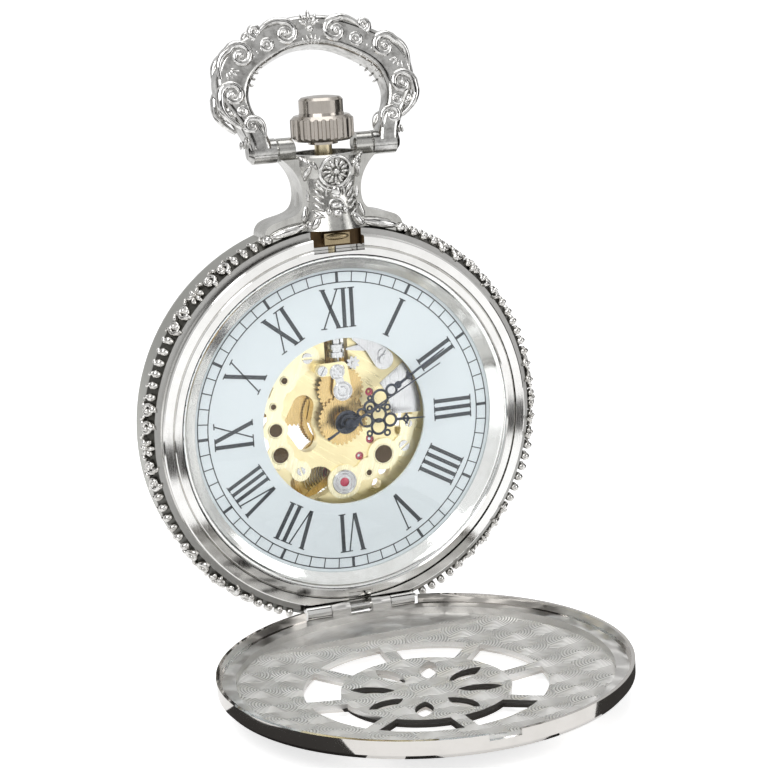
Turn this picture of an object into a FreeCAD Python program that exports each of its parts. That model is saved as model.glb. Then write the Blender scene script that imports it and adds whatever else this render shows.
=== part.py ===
import FreeCAD, Part
import math
import os
import re

import Sketcher

# Pocket watch in a hunter case: a hinged, pierced front lid stands open in front of the dial.
# Every piece is drawn face-on in the watch's own frame: x towards 3 o'clock, y towards 12 o'clock,
# z out of the dial, with z = 0 on the flat back. upright() then stands it up for the file:
# +X to the right, +Z towards 12 o'clock, and the dial looking along -Y. All sizes are in mm.

doc = FreeCAD.newDocument("pocket_watch")
sheet = doc.addObject("Spreadsheet::Sheet", "Sizes")

# Driving sizes, each of which can be set by itself.
SIZES = {
    # case band and flange
    "case_radius": 23.5, "case_back": 1.9, "band_back": 5.6, "plate_back": 6.6, "fit_gap": 0.05,
    "edge_break": 0.15, "cover_seat_depth": 1.2,
    # bezel, crystals and back cover
    "crystal_thickness": 0.7, "back_crystal_thickness": 1.3, "crystal_ledge": 0.35,
    # dial and its window
    "dial_thickness": 0.4, "window_radius": 9.8, "foot_radius": 0.45,
    # front lid, its hinge and its catch
    "lid_open_angle": 90.0, "knuckle_radius": 0.9, "pin_radius": 0.4, "pin_gap": 0.02,
    "lid_knuckle_in": 1.35, "hinge_relief": 7.0, "rosette_radius": 3.4, "piercing_in": 9.2,
    "piercing_count": 8, "spoke_width": 1.5, "lens_width": 2.0, "latch_half": 1.5,
    "latch_body": 0.75, "latch_overlap": 0.6, "latch_height": 1.0, "nose_height": 0.35,
    "latch_gap": 0.1, "latch_side_gap": 0.2, "latch_room_depth": 2.0, "latch_room_height": 0.75,
    "spring_clear": 0.68, "leaf_thickness": 0.45,
    # pendant, bow and crown
    "neck_radius": 3.45, "ear_radius": 1.35, "wing_half_depth": 2.3, "wing_foot": 8.2,
    "stem_radius": 0.6, "bow_pin_radius": 0.7, "barrel_wall": 0.9, "bow_outer_top": 15.0,
    "bow_thickness": 3.2, "bow_lean": 17.0, "bow_fillet": 0.7, "crown_ring_height": 2.9,
    "crown_cap_height": 2.1, "crown_flutes": 26, "flute_radius": 0.3, "collar_radius": 1.7,
    "collar_thickness": 0.35,
    # plates and bridges
    "screw_radius": 0.8, "screw_head": 0.5, "small_head_radius": 0.6, "screw_play": 0.02,
    "pillar_radius": 1.4, "boss_radius": 1.7, "barrel_boss": 3.4, "post_hole": 0.27,
    "crown_post_hole": 0.5, "bush_radius": 0.74, "jewel_radius": 0.48, "jewel_play": 0.03,
    "jewel_chamfer": 0.02, "setting_radius": 1.28, "cock_setting_radius": 1.08,
    "cover_thickness": 0.25,
    # going train: tooth numbers, centre distances and levels
    "train_distance": 4.62, "centre_teeth": 75, "third_teeth": 80, "fourth_teeth": 80,
    "pinion_leaves": 10, "escape_leaves": 8, "barrel_teeth": 72, "centre_leaves": 12,
    "barrel_x": -4.5, "barrel_y": 5.2, "wheel_thickness": 0.15, "escape_teeth": 15,
    "escape_radius": 2.0, "pallet_x": 2.1, "pallet_y": -4.8, "balance_y": -7.6,
    "balance_radius": 5.0, "arbor_radius": 0.16, "tube_radius": 0.42, "tube_bore": 0.2,
    # motion work and hands
    "motion_distance": 3.6, "cannon_leaves": 10, "minute_teeth": 30, "minute_leaves": 8,
    "hour_teeth": 32, "hand_thickness": 0.18, "hour_hand_length": 9.6, "minute_hand_length": 14.3,
    "second_hand_length": 12.8, "second_hand_tail": 3.1, "hour_hand_angle": 93.0,
    "minute_hand_angle": 58.4, "second_hand_angle": 62.4,
    # winding and setting work
    "crown_wheel_y": 12.7, "winding_radius": 1.3, "winding_level": 10.3, "ratchet_teeth": 52,
    "crown_teeth": 30, "ratchet_thickness": 0.5, "clutch_radius": 1.0, "setting_teeth": 8,
    "click_x": -10.3, "click_y": 8.55,
}

# Sizes that follow others, so that what seats, passes or lines up stays together.
MATING = {
    # case band and flange
    "plate_front": "plate_back + 1.5", "dial_front": "plate_front + 1.9",
    "flange_front": "dial_front + 1.9", "step_height": "flange_front - 1.05",
    "band_front": "step_height - 1.95", "shoulder_height": "dial_front - 0.9",
    "step_radius": "case_radius - 0.9", "flange_radius": "step_radius - 0.77",
    "case_back_radius": "case_radius - 1.6", "cover_seat_radius": "case_radius - 2.6",
    "case_bore": "bezel_skirt + 0.7",
    # bezel, crystals and back cover
    "bezel_radius": "step_radius - 1.9", "bezel_base": "dial_front - 0.7",
    "bezel_front": "flange_front + fit_gap", "bezel_skirt": "bezel_radius - 1.75",
    "dial_opening": "crystal_radius - 1.6", "crystal_radius": "bezel_radius - 1.2",
    "crystal_seat": "bezel_front - 0.75", "crystal_edge": "bezel_front - 0.15",
    "crystal_apex": "bezel_front + 1.25", "back_crystal_radius": "case_radius - 7.3",
    "cover_shoulder": "case_radius - 4.3",
    # dial and its window
    "dial_radius": "bezel_skirt - 0.35", "foot_circle": "dial_radius - 3.1",
    # front lid, its hinge and its catch
    "lid_radius": "case_radius - 1.15", "lip_inner": "lid_radius - 0.4",
    "lip_base": "flange_front - 0.9", "land_height": "flange_front + 0.1",
    "lid_wall": "lid_radius - 2.05", "floor_edge": "land_height + 0.8",
    "floor_apex": "floor_edge + 1.65", "dome_edge": "floor_edge + 0.55",
    "dome_apex": "dome_edge + 2.05", "lid_shoulder": "land_height + 0.5",
    "hinge_drop": "lid_radius - 0.42", "hinge_height": "flange_front - 0.37",
    "case_knuckle_in": "lid_knuckle_out + 0.08", "case_knuckle_out": "hinge_relief - 0.4",
    "lid_knuckle_out": "lid_knuckle_in + 2.27", "lid_cut": "hinge_drop - 1.08",
    "piercing_out": "piercing_in + 4", "lens_out": "piercing_in - 1",
    "spring_low": "plate_back - 3.3", "spring_high": "band_back - 0.4",
    "land_edge": "lid_wall - 5.2", "notch_half": "2 * latch_half",
    "notch_floor": "step_height - 0.65", "notch_inner": "case_radius - 3.5",
    "latch_nose": "lip_inner + 0.17", "latch_tail": "latch_nose - 1.27",
    # pendant, bow and crown
    "stem_height": "plate_front", "neck_level": "case_radius + 3.3",
    "flare_radius": "neck_radius + 1.25", "cup_level": "neck_level + 4.2",
    "cup_radius": "neck_radius + 0.85", "ear_half": "cup_radius + 1.2",
    "pivot_level": "cup_level + 0.6", "sleeve_bore": "sleeve_radius + 0.1",
    "sleeve_radius": "stem_radius + 0.4", "barrel_in": "ear_half + 0.25",
    "barrel_out": "barrel_in + 3.2", "barrel_radius": "barrel_bore + 0.65",
    "barrel_bore": "bow_pin_radius + fit_gap", "bow_outer_half": "barrel_out + 2.75",
    "bow_inner_half": "bow_outer_half - 3.6", "bow_inner_top": "bow_outer_top - 3.5",
    "crown_base": "pivot_level + 0.7", "crown_ring_radius": "cup_radius - 0.7",
    "crown_cap_radius": "crown_ring_radius - 1.08",
    # plates and bridges
    "pallet_bridge_low": "plate_back - 1.65", "pallet_bridge_high": "plate_back - 1.25",
    "cover_high": "plate_front + 0.7",
    "plate_radius": "ring_radius - 0.7", "ring_radius": "case_bore - fit_gap",
    "ring_back": "plate_back - 1.2", "bridge_back": "plate_back - 3.4",
    "bridge_front": "bridge_back + 0.8", "cock_back": "bridge_back - 1.2",
    "cock_front": "cock_back + 0.8",
    # going train: tooth numbers, centre distances and levels
    "third_x": "train_distance - 0.87", "barrel_floor": "plate_back - 1.6",
    "barrel_lid": "plate_back - 0.6", "centre_wheel_level": "plate_back - 0.35",
    "fourth_wheel_level": "plate_back - 1.95", "third_wheel_level": "plate_back - 2.4",
    "escape_level": "plate_back - 1", "balance_back": "plate_back - 2.7",
    "balance_front": "balance_back + 0.6", "hairspring_level": "plate_back - 3.5",
    # motion work and hands
    "minute_level": "plate_front + 0.75", "hour_level": "plate_front + 1.05",
    "cannon_radius": "tube_radius + 0.2", "pipe_radius": "cannon_radius + 0.23",
    "hour_hand_level": "dial_front + 0.7", "minute_hand_level": "hour_hand_level + 0.5",
    "second_hand_level": "minute_hand_level + 0.55",
    # winding and setting work
    "contrate_radius": "crown_wheel_y - winding_level", "ratchet_level": "bridge_back - 0.6",
    "clutch_from": "winding_level - 2.9", "clutch_to": "clutch_from + 1.5",
    "minute_bridge_back": "hour_level + 0.3", "minute_bridge_front": "minute_bridge_back + 0.3",
}

for row, alias in enumerate([*SIZES, *MATING], start=1):
    sheet.set("A%d" % row, alias.replace("_", " "))
    sheet.setAlias("B%d" % row, alias)
for alias, number in SIZES.items():
    sheet.set(alias, str(number))
for alias, formula in MATING.items():
    sheet.set(alias, "=" + formula)
doc.recompute()

UP = FreeCAD.Vector(0, 0, 1)
TOWARDS_12 = FreeCAD.Vector(0, 1, 0)
TOWARDS_3 = FreeCAD.Vector(1, 0, 0)
ORIGIN = FreeCAD.Vector(0, 0, 0)
UPRIGHT = FreeCAD.Placement(ORIGIN, FreeCAD.Rotation(TOWARDS_3, 90))
nodes = []


def size(alias):
    """The number that the sheet holds for an alias."""
    return float(sheet.get(alias))


def bound(text):
    """A formula in sheet aliases, written as FreeCAD's expressions name them."""
    return re.sub(r"[a-z][a-z_0-9]*", lambda word: "Sizes." + word.group(0), str(text))


def worth(text):
    """What such a formula comes to now."""
    return float(sheet.evalExpression(bound(text)))


def point(x, y, z):
    return FreeCAD.Vector(x, y, z)


def node(feature, label, placement=UPRIGHT):
    """Name a finished sub-part and stand it up."""
    feature.Label = label
    feature.Placement = placement
    nodes.append(feature)
    return feature


def solid_node(label, shape, placement=UPRIGHT):
    """A sub-part whose shape comes from Part's own functions."""
    feature = doc.addObject("Part::Feature", label)
    feature.Shape = shape
    return node(feature, label, placement)


def turned(name, outline):
    """A body turned about the z axis. The outline lists (radius, height) formulas in order round the
    section; a third item, "dome", makes the edge to the next point an arc centred on the axis."""
    body = doc.addObject("PartDesign::Body", name)
    sketch = body.newObject("Sketcher::SketchObject", name + "_section")
    plane = [feature for feature in body.Origin.OriginFeatures if feature.Role == "XZ_Plane"][0]
    sketch.AttachmentSupport = (plane, [""])
    sketch.MapMode = "FlatFace"
    corners = [point(worth(item[0]), worth(item[1]), 0) for item in outline]
    for index, item in enumerate(outline):
        start = corners[index]
        end = corners[(index + 1) % len(corners)]
        if len(item) == 3:
            across = end.x ** 2 - start.x ** 2
            middle = (across / (end.y - start.y) + end.y + start.y) / 2
            centre = point(0, middle, 0)
            circle = Part.Circle(centre, UP, start.distanceToPoint(centre))
            angles = [math.atan2(corner.y - middle, corner.x) for corner in (start, end)]
            sketch.addGeometry(Part.ArcOfCircle(circle, min(angles), max(angles)), False)
        else:
            sketch.addGeometry(Part.LineSegment(start, end), False)
    for index, item in enumerate(outline):
        following = (index + 1) % len(outline)
        first_end = 1
        last_end = 2
        if len(item) == 3 and corners[following].x > corners[index].x:
            first_end, last_end = 2, 1
        next_first = 1
        after = corners[(following + 1) % len(outline)]
        if len(outline[following]) == 3 and after.x > corners[following].x:
            next_first = 2
        sketch.addConstraint(Sketcher.Constraint("Coincident", index, last_end, following, next_first))
        if len(item) == 3:
            sketch.addConstraint(Sketcher.Constraint("PointOnObject", index, 3, -2))
        if corners[index].x == 0:
            sketch.addConstraint(Sketcher.Constraint("PointOnObject", index, first_end, -2))
        else:
            place = sketch.addConstraint(Sketcher.Constraint(
                "DistanceX", -1, 1, index, first_end, corners[index].x))
            sketch.setExpression("Constraints[%d]" % place, bound(item[0]))
        if corners[index].y == 0:
            sketch.addConstraint(Sketcher.Constraint("PointOnObject", index, first_end, -1))
        else:
            place = sketch.addConstraint(Sketcher.Constraint(
                "DistanceY", -1, 1, index, first_end, corners[index].y))
            sketch.setExpression("Constraints[%d]" % place, bound(item[1]))
    doc.recompute()
    spin = body.newObject("PartDesign::Revolution", name + "_turning")
    spin.Profile = sketch
    spin.ReferenceAxis = (sketch, ["V_Axis"])
    spin.Angle = 360
    doc.recompute()
    return body


def cylinder(name, radius, base, height, x="0", y="0"):
    """A cylinder primitive along z, bound to the sheet."""
    piece = doc.addObject("Part::Cylinder", name)
    piece.setExpression("Radius", bound(radius))
    piece.setExpression("Height", bound(height))
    piece.setExpression("Placement.Base.x", bound(x))
    piece.setExpression("Placement.Base.y", bound(y))
    piece.setExpression("Placement.Base.z", bound(base))
    return piece


def block(name, x, y, z, length, width, height):
    """A box primitive with its low corner at (x, y, z), bound to the sheet."""
    piece = doc.addObject("Part::Box", name)
    for side, formula in (("Length", length), ("Width", width), ("Height", height)):
        piece.setExpression(side, bound(formula))
    for axis, formula in (("x", x), ("y", y), ("z", z)):
        piece.setExpression("Placement.Base." + axis, bound(formula))
    return piece


def joined(name, pieces):
    union = doc.addObject("Part::MultiFuse", name)
    union.Shapes = pieces
    return union


def cut(name, base, tools):
    """The base less its tools, as a boolean of the document."""
    result = doc.addObject("Part::Cut", name)
    result.Base = base
    result.Tool = tools[0] if len(tools) == 1 else joined(name + "_tools", tools)
    return result


def rod(radius, start, end):
    """A plain round bar between two points."""
    along = end - start
    return Part.makeCylinder(radius, along.Length, start, along)


def washer(outer, inner, low, high, x=0.0, y=0.0):
    """A ring about a z axis at (x, y)."""
    ring = Part.makeCylinder(outer, high - low, point(x, y, low))
    if inner > 0:
        ring = ring.cut(Part.makeCylinder(inner, high - low, point(x, y, low)))
    return ring


def flat(outline, low, high):
    """A flat piece: a closed outline of (x, y) corners between two heights."""
    corners = [point(x, y, low) for x, y in outline]
    return Part.Face(Part.makePolygon(corners + corners[:1])).extrude(UP * (high - low))


def polar(radius, degrees, x=0.0, y=0.0):
    """A point on a circle, with degrees counted clockwise from 12 o'clock."""
    angle = math.radians(degrees)
    return x + radius * math.sin(angle), y + radius * math.cos(angle)


def gear(teeth, module, low, high, x=0.0, y=0.0, facing=0.0, tooth_part=0.38):
    """A spur gear with straight-flanked teeth. One tooth points in the direction facing."""
    pitch_radius = teeth * module / 2
    tip = pitch_radius + 0.5 * module
    root = pitch_radius - 0.8 * module
    pitch = 360.0 / teeth
    outline = []
    for number in range(teeth):
        middle = facing + number * pitch
        for radius, offset in ((root, -0.62), (tip, -0.3), (tip, 0.3), (root, 0.62)):
            outline.append(polar(radius, middle + offset * tooth_part * 2 * pitch / 1.24, x, y))
    return flat(outline, low, high)


def bored(shape, radius, x=0.0, y=0.0):
    """The same shape with a hole along z right through it."""
    box = shape.BoundBox
    return shape.cut(Part.makeCylinder(radius, box.ZLength + 2, point(x, y, box.ZMin - 1)))


def bearing_towards(x_from, y_from, x_to, y_to):
    """Degrees clockwise from 12 o'clock of the line from one point to another."""
    return math.degrees(math.atan2(x_to - x_from, y_to - y_from))


def wheel(teeth, module, low, high, x, y, facing, rim, hub, spokes, bore):
    """A crossed-out wheel: a toothed rim, straight arms and a hub."""
    inner = teeth * module / 2 - 0.8 * module - rim
    disc = gear(teeth, module, low, high, x, y, facing)
    window = washer(inner, hub, low, high, x, y)
    for arm in range(spokes):
        turn = 360.0 * arm / spokes
        far = point(*polar(inner + 1, turn, x, y), low)
        near = point(x, y, low)
        bar = Part.makeBox(rim * 1.3, far.distanceToPoint(near), high - low,
                           point(-rim * 0.65, 0, 0))
        bar.rotate(ORIGIN, UP, -turn)
        bar.translate(near)
        window = window.cut(bar)
    disc = disc.cut(window)
    return bored(disc, bore, x, y) if bore > 0 else disc


# ---- case: middle, bezel, crystals and back cover ----

stem_height = size("stem_height")

case_blank = turned("case_blank", [
    ("case_bore", "case_back"),
    ("cover_seat_radius", "case_back"),
    ("case_back_radius", "case_back"),
    ("case_radius - 0.35", "band_back - 1.6"),
    ("case_radius", "band_back"),
    ("case_radius", "band_front"),
    ("step_radius", "step_height"),
    ("flange_radius", "step_height"),
    ("flange_radius", "flange_front - edge_break"),
    ("flange_radius - edge_break", "flange_front"),
    ("bezel_radius + fit_gap", "flange_front"),
    ("bezel_radius + fit_gap", "shoulder_height"),
    ("case_bore", "shoulder_height"),
])
cover_seat = cylinder("cover_seat", "cover_seat_radius", "case_back", "cover_seat_depth")
stem_way = doc.addObject("Part::Cylinder", "stem_way")
stem_way.setExpression("Radius", bound("sleeve_radius + 2 * fit_gap"))
stem_way.setExpression("Height", bound("case_radius"))
stem_way.Placement.Rotation = FreeCAD.Rotation(TOWARDS_3, -90)
stem_way.setExpression("Placement.Base.z", bound("stem_height"))
stem_way.setExpression("Placement.Base.y", bound("ring_radius - 4"))
latch_notch = block("latch_notch", "-notch_half", "ring_radius", "notch_floor",
                    "2 * notch_half", "step_radius - ring_radius", "flange_front - notch_floor")
hinge_notch = block("hinge_notch", "-hinge_relief", "-case_radius - 1", "step_height - 0.75",
                    "2 * hinge_relief", "case_radius + 1 - lid_cut", "flange_front - step_height + 1")
spring_way = block("spring_way", "-lid_knuckle_in", "-lid_cut - 0.1", "step_height - 0.75",
                   "2 * lid_knuckle_in", "lid_cut + 0.1 - case_bore", "flange_front - step_height + 1")
case_cut = cut("case_cut", case_blank, [cover_seat, stem_way, latch_notch, hinge_notch, spring_way])
doc.recompute()


def knuckles(inner, outer, side):
    """Two hinge barrels about the pin, with arms that reach towards 12 (side 1) or back (side -1)."""
    drop = size("hinge_drop")
    height = size("hinge_height")
    radius = size("knuckle_radius")
    shape = None
    for mirror in (-1, 1):
        near = min(mirror * inner, mirror * outer)
        barrel = rod(radius, point(near, -drop, height), point(near + outer - inner, -drop, height))
        if side > 0:
            arm = Part.makeBox(outer - inner, drop - size("lid_cut") - 2 * size("fit_gap"),
                               size("land_height") - height, point(near, -drop, height))
            tongue = Part.makeBox(outer - inner, drop - size("lid_cut") + 0.6, 0.38,
                                  point(near, -drop, size("land_height")))
            arm = arm.fuse(tongue)
        else:
            arm = Part.makeBox(outer - inner, 2 * radius, height - size("step_height") + 0.75,
                               point(near, -drop - radius, size("step_height") - 0.75))
        piece = barrel.fuse(arm)
        shape = piece if shape is None else shape.fuse(piece)
    return shape


pin_hole = rod(size("pin_radius") + size("pin_gap"), point(-20, -size("hinge_drop"),
               size("hinge_height")), point(20, -size("hinge_drop"), size("hinge_height")))
case_shape = case_cut.Shape.fuse(knuckles(size("case_knuckle_in"), size("case_knuckle_out"), -1))
case_shape = case_shape.cut(pin_hole).removeSplitter()
solid_node("case_middle", case_shape)

hinge_pin = rod(size("pin_radius"), point(-size("case_knuckle_out"), -size("hinge_drop"),
                size("hinge_height")), point(size("case_knuckle_out"), -size("hinge_drop"),
                                             size("hinge_height")))
solid_node("hinge_pin", hinge_pin)

bezel_blank = turned("bezel_blank", [
    ("dial_opening", "dial_front + fit_gap"),
    ("bezel_skirt", "dial_front + fit_gap"),
    ("bezel_skirt", "bezel_base"),
    ("bezel_radius", "bezel_base"),
    ("bezel_radius", "bezel_front - 0.25"),
    ("bezel_radius - 0.25", "bezel_front"),
    ("crystal_radius + 0.2", "bezel_front"),
    ("crystal_radius + fit_gap", "crystal_edge"),
    ("crystal_radius + fit_gap", "crystal_seat"),
    ("crystal_radius - crystal_ledge", "crystal_seat"),
    ("dial_opening", "dial_front + 0.35"),
])
bezel_notch = block("bezel_notch", "-notch_half", "notch_inner", "bezel_base - 1",
                    "2 * notch_half", "case_radius - notch_inner", "bezel_front")
spring_gap = block("spring_gap", "-lid_knuckle_in", "-case_radius", "bezel_base - 1",
                   "2 * lid_knuckle_in", "case_radius - notch_inner", "bezel_front")
bezel = cut("bezel_cut", bezel_blank, [bezel_notch, spring_gap])
node(bezel, "bezel")

crystal = turned("crystal_body", [
    ("crystal_radius - fit_gap", "crystal_seat + fit_gap"),
    ("crystal_radius - fit_gap", "crystal_edge"),
    ("crystal_radius - 0.25", "crystal_edge + 0.12", "dome"),
    ("0", "crystal_apex"),
    ("0", "crystal_apex - crystal_thickness", "dome"),
    ("crystal_radius - 0.9", "crystal_seat + fit_gap"),
])
node(crystal, "crystal")

back_cover = turned("back_cover_body", [
    ("back_crystal_radius + fit_gap", "0.12"),
    ("back_crystal_radius + fit_gap", "back_crystal_thickness"),
    ("back_crystal_radius - 0.6", "back_crystal_thickness"),
    ("back_crystal_radius - 0.6", "back_crystal_thickness + 0.4"),
    ("cover_shoulder", "case_back + 0.6"),
    ("cover_seat_radius - 0.9", "case_back + cover_seat_depth - fit_gap"),
    ("cover_seat_radius - fit_gap", "case_back + cover_seat_depth - fit_gap"),
    ("cover_seat_radius - fit_gap", "case_back - fit_gap"),
    ("case_back_radius - 0.1", "case_back - fit_gap"),
    ("case_back_radius - 0.35", "case_back - 0.45"),
    ("cover_shoulder", "0.45"),
    ("back_crystal_radius + 1.2", "0.12"),
])
node(back_cover, "back_cover")

back_crystal = cylinder("back_crystal_disc", "back_crystal_radius", "0",
                        "back_crystal_thickness - fit_gap")
node(back_crystal, "back_crystal")

# ---- front lid: a pierced dome with a lip, hinged at 6 o'clock ----

lid_blank = turned("lid_blank", [
    ("0", "floor_apex", "dome"),
    ("lid_wall", "floor_edge"),
    ("lid_wall", "land_height"),
    ("lip_inner", "land_height"),
    ("lip_inner", "lip_base"),
    ("lid_radius", "lip_base"),
    ("lid_radius", "lid_shoulder"),
    ("lid_radius - 0.45", "lid_shoulder + 0.5"),
    ("lid_wall + 0.3", "dome_edge", "dome"),
    ("0", "dome_apex"),
])
doc.recompute()


def lid_land():
    """The plain raised land inside the lid at the hinge side, with a curved inner edge."""
    wall = size("lid_wall")
    low = size("floor_edge")
    disc = Part.makeCylinder(wall + 0.1, size("floor_apex") - low, point(0, 0, low))
    reach = 6 * wall
    near = Part.makeCylinder(reach, 10, point(0, reach - size("land_edge"), low - 1))
    return disc.cut(near)


def lid_piercings():
    """Curved windows in a ring, and a rosette of lens-shaped windows inside them."""
    low = size("floor_edge") - 1
    tall = size("dome_apex") - low + 1
    count = int(size("piercing_count"))
    band = washer(size("piercing_out"), size("piercing_in"), low, low + tall)
    shapes = []
    for number in range(count):
        bar = Part.makeBox(size("spoke_width"), size("piercing_out") + 1, tall + 2,
                           point(-size("spoke_width") / 2, 0, low - 1))
        bar.rotate(ORIGIN, UP, 360.0 * number / count)
        band = band.cut(bar)
    shapes.append(band)
    middle = (size("lens_out") + size("rosette_radius")) / 2
    half = (size("lens_out") - size("rosette_radius")) / 2
    bulge = (half ** 2 + (size("lens_width") / 2) ** 2) / size("lens_width")
    for number in range(count):
        lens = Part.makeCylinder(bulge, tall, point(bulge - size("lens_width") / 2, middle, low))
        lens = lens.common(Part.makeCylinder(bulge, tall,
                           point(size("lens_width") / 2 - bulge, middle, low)))
        lens.rotate(ORIGIN, UP, 360.0 * (number + 0.5) / count)
        shapes.append(lens)
    return shapes


dome_rise = size("dome_apex") - size("dome_edge")
dome_ball_radius = ((size("lid_wall") + 0.3) ** 2 + dome_rise ** 2) / (2 * dome_rise)
inside_dome = Part.makeSphere(dome_ball_radius - 0.35,
                              point(0, 0, size("dome_apex") - dome_ball_radius))
lid_shape = lid_blank.Shape.fuse(lid_land().common(inside_dome))
relief_high = size("land_height") + 0.38
relief = Part.makeBox(2 * size("hinge_relief"), 5, relief_high - size("lip_base") + 1,
                      point(-size("hinge_relief"), -size("lid_cut") - 5, size("lip_base") - 1))
lid_shape = lid_shape.cut(relief)
lid_shape = lid_shape.cut(Part.makeCompound(lid_piercings()))
turning_room = rod(size("knuckle_radius") + 0.12, point(-size("hinge_relief"), -size("hinge_drop"),
                   size("hinge_height")), point(size("hinge_relief"), -size("hinge_drop"),
                                                size("hinge_height")))
lid_shape = lid_shape.cut(turning_room)
latch_room = Part.makeBox(2 * size("latch_half") + 2 * size("latch_side_gap"),
                          size("latch_room_depth"), size("latch_room_height"),
                          point(-size("latch_half") - size("latch_side_gap"), size("latch_tail"),
                                size("step_height") + size("fit_gap")))
lid_shape = lid_shape.cut(latch_room)
lid_shape = lid_shape.fuse(knuckles(size("lid_knuckle_in"), size("lid_knuckle_out"), 1))
lid_shape = lid_shape.cut(pin_hole).removeSplitter()
hinge_at = point(0, -size("hinge_drop"), size("hinge_height"))
opened = FreeCAD.Placement(ORIGIN, FreeCAD.Rotation(TOWARDS_3, size("lid_open_angle")), hinge_at)
solid_node("front_lid", lid_shape, UPRIGHT.multiply(opened))

# ---- catch of the lid, and the two springs that work it ----

latch = Part.makeBox(2 * size("latch_half"), size("latch_body"), size("latch_height"),
                     point(-size("latch_half"), size("latch_tail"),
                           size("notch_floor") + size("latch_gap")))
nose_from = size("latch_tail") + size("latch_body") - size("latch_overlap")
nose = Part.makeBox(2 * size("latch_half"), size("latch_nose") - nose_from, size("nose_height"),
                    point(-size("latch_half"), nose_from, size("step_height") + size("latch_gap")))
solid_node("lid_latch", latch.fuse(nose).removeSplitter())


def case_spring(start, end, radius, low, high, thickness):
    """A curved leaf that lies along the inside of the case between two clock angles."""
    ring = washer(radius, radius - thickness, low, high)
    corners = [polar(3 * radius, start + (end - start) * part / 4.0) for part in range(5)]
    return ring.common(flat([(0, 0)] + corners, low, high))


lock_leaf = case_spring(2, 100, size("bezel_skirt") + size("spring_clear"), size("spring_low"),
                        size("spring_high"), size("leaf_thickness"))
solid_node("lock_spring", lock_leaf)
fly_leaf = case_spring(182, 280, size("bezel_skirt") + size("spring_clear"), size("spring_low"),
                       size("spring_high"), size("leaf_thickness"))
solid_node("fly_spring", fly_leaf)

# ---- pendant, bow and crown along the stem's line ----

ALONG_STEM = FreeCAD.Placement(point(0, 0, stem_height), FreeCAD.Rotation(TOWARDS_3, -90))

pendant_body = turned("pendant_body", [
    ("sleeve_bore", "step_radius"),
    ("flare_radius", "step_radius"),
    ("neck_radius + 0.35", "case_radius + 1.2"),
    ("neck_radius", "neck_level"),
    ("neck_radius + 0.25", "neck_level + 1.6"),
    ("cup_radius", "cup_level - 1.2"),
    ("cup_radius", "cup_level - 0.25"),
    ("cup_radius - 0.25", "cup_level"),
    ("cup_radius - 0.9", "cup_level"),
    ("cup_radius - 1.6", "cup_level - 0.9"),
    ("sleeve_bore", "cup_level - 0.9"),
])
doc.recompute()
pendant_shape = pendant_body.Shape.copy()
pendant_shape.Placement = ALONG_STEM
ears = rod(size("ear_radius"), point(-size("ear_half"), size("pivot_level"), stem_height),
           point(size("ear_half"), size("pivot_level"), stem_height))
cup_room = rod(size("cup_radius") - 0.9, point(0, size("cup_level") - 0.9, stem_height),
               point(0, size("cup_level"), stem_height))
crown_room = rod(size("crown_ring_radius") + 0.25, point(0, size("cup_level"), stem_height),
                 point(0, size("cup_level") + 4, stem_height))
pin_way = rod(size("bow_pin_radius"), point(-size("ear_half") - 1, size("pivot_level"), stem_height),
              point(size("ear_half") + 1, size("pivot_level"), stem_height))


def pendant_wings():
    """The concave flanks that sweep from the case up to the ears, seen from the front."""
    half = size("wing_half_depth")
    low = size("step_radius") - 1
    right = [(size("wing_foot"), low), (size("wing_foot") - 0.6, size("case_radius") - 0.1),
             (size("neck_radius") + 0.5, size("case_radius") + 1.3),
             (size("neck_radius"), size("neck_level")),
             (size("neck_radius") + 0.55, size("neck_level") + 2.0),
             (size("ear_half") - 0.75, size("pivot_level") - 1.7),
             (size("ear_half"), size("pivot_level") - 0.95)]
    flank = Part.BSplineCurve()
    flank.interpolate([point(x, y, stem_height - half) for x, y in right])
    mirrored = Part.BSplineCurve()
    mirrored.interpolate([point(-x, y, stem_height - half) for x, y in right])
    edges = [flank.toShape(), mirrored.toShape(),
             Part.LineSegment(flank.StartPoint, mirrored.StartPoint).toShape(),
             Part.LineSegment(flank.EndPoint, mirrored.EndPoint).toShape()]
    return Part.Face(Part.Wire(Part.sortEdges(edges)[0])).extrude(UP * 2 * half)


pendant_shape = pendant_shape.fuse(pendant_wings()).fuse(ears)
sleeve_way = rod(size("sleeve_bore"), point(0, size("ring_radius"), stem_height),
                 point(0, size("cup_level") + 1, stem_height))
pendant_shape = pendant_shape.cut(cup_room).cut(crown_room).cut(pin_way).cut(sleeve_way)
solid_node("pendant", pendant_shape.cut(case_blank.Shape))

pins = []
for side in (-1, 1):
    near = side * (size("crown_ring_radius") + 0.4)
    far = side * (size("barrel_out") - size("barrel_wall") - 0.1)
    pins.append(rod(size("bow_pin_radius"), point(near, size("pivot_level"), stem_height),
                    point(far, size("pivot_level"), stem_height)))
solid_node("bow_pins", Part.makeCompound(pins))


def bow_loop(half_width, top, pinch, foot):
    """The smooth closed curve of one edge of the bow, symmetric about the stem's line."""
    right = [
        (foot, 0.0),
        (foot + (half_width - foot) * 0.45, top * 0.24),
        (half_width, top * 0.5),
        (half_width * 0.9, top * 0.72),
        (half_width * pinch, top * 0.87),
        (half_width * 0.3, top * 0.97),
    ]
    left = [(-x, y) for x, y in reversed(right)]
    corners = [point(x, y, 0) for x, y in right + [(0.0, top)] + left]
    curve = Part.BSplineCurve()
    curve.interpolate(corners)
    return curve


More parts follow.
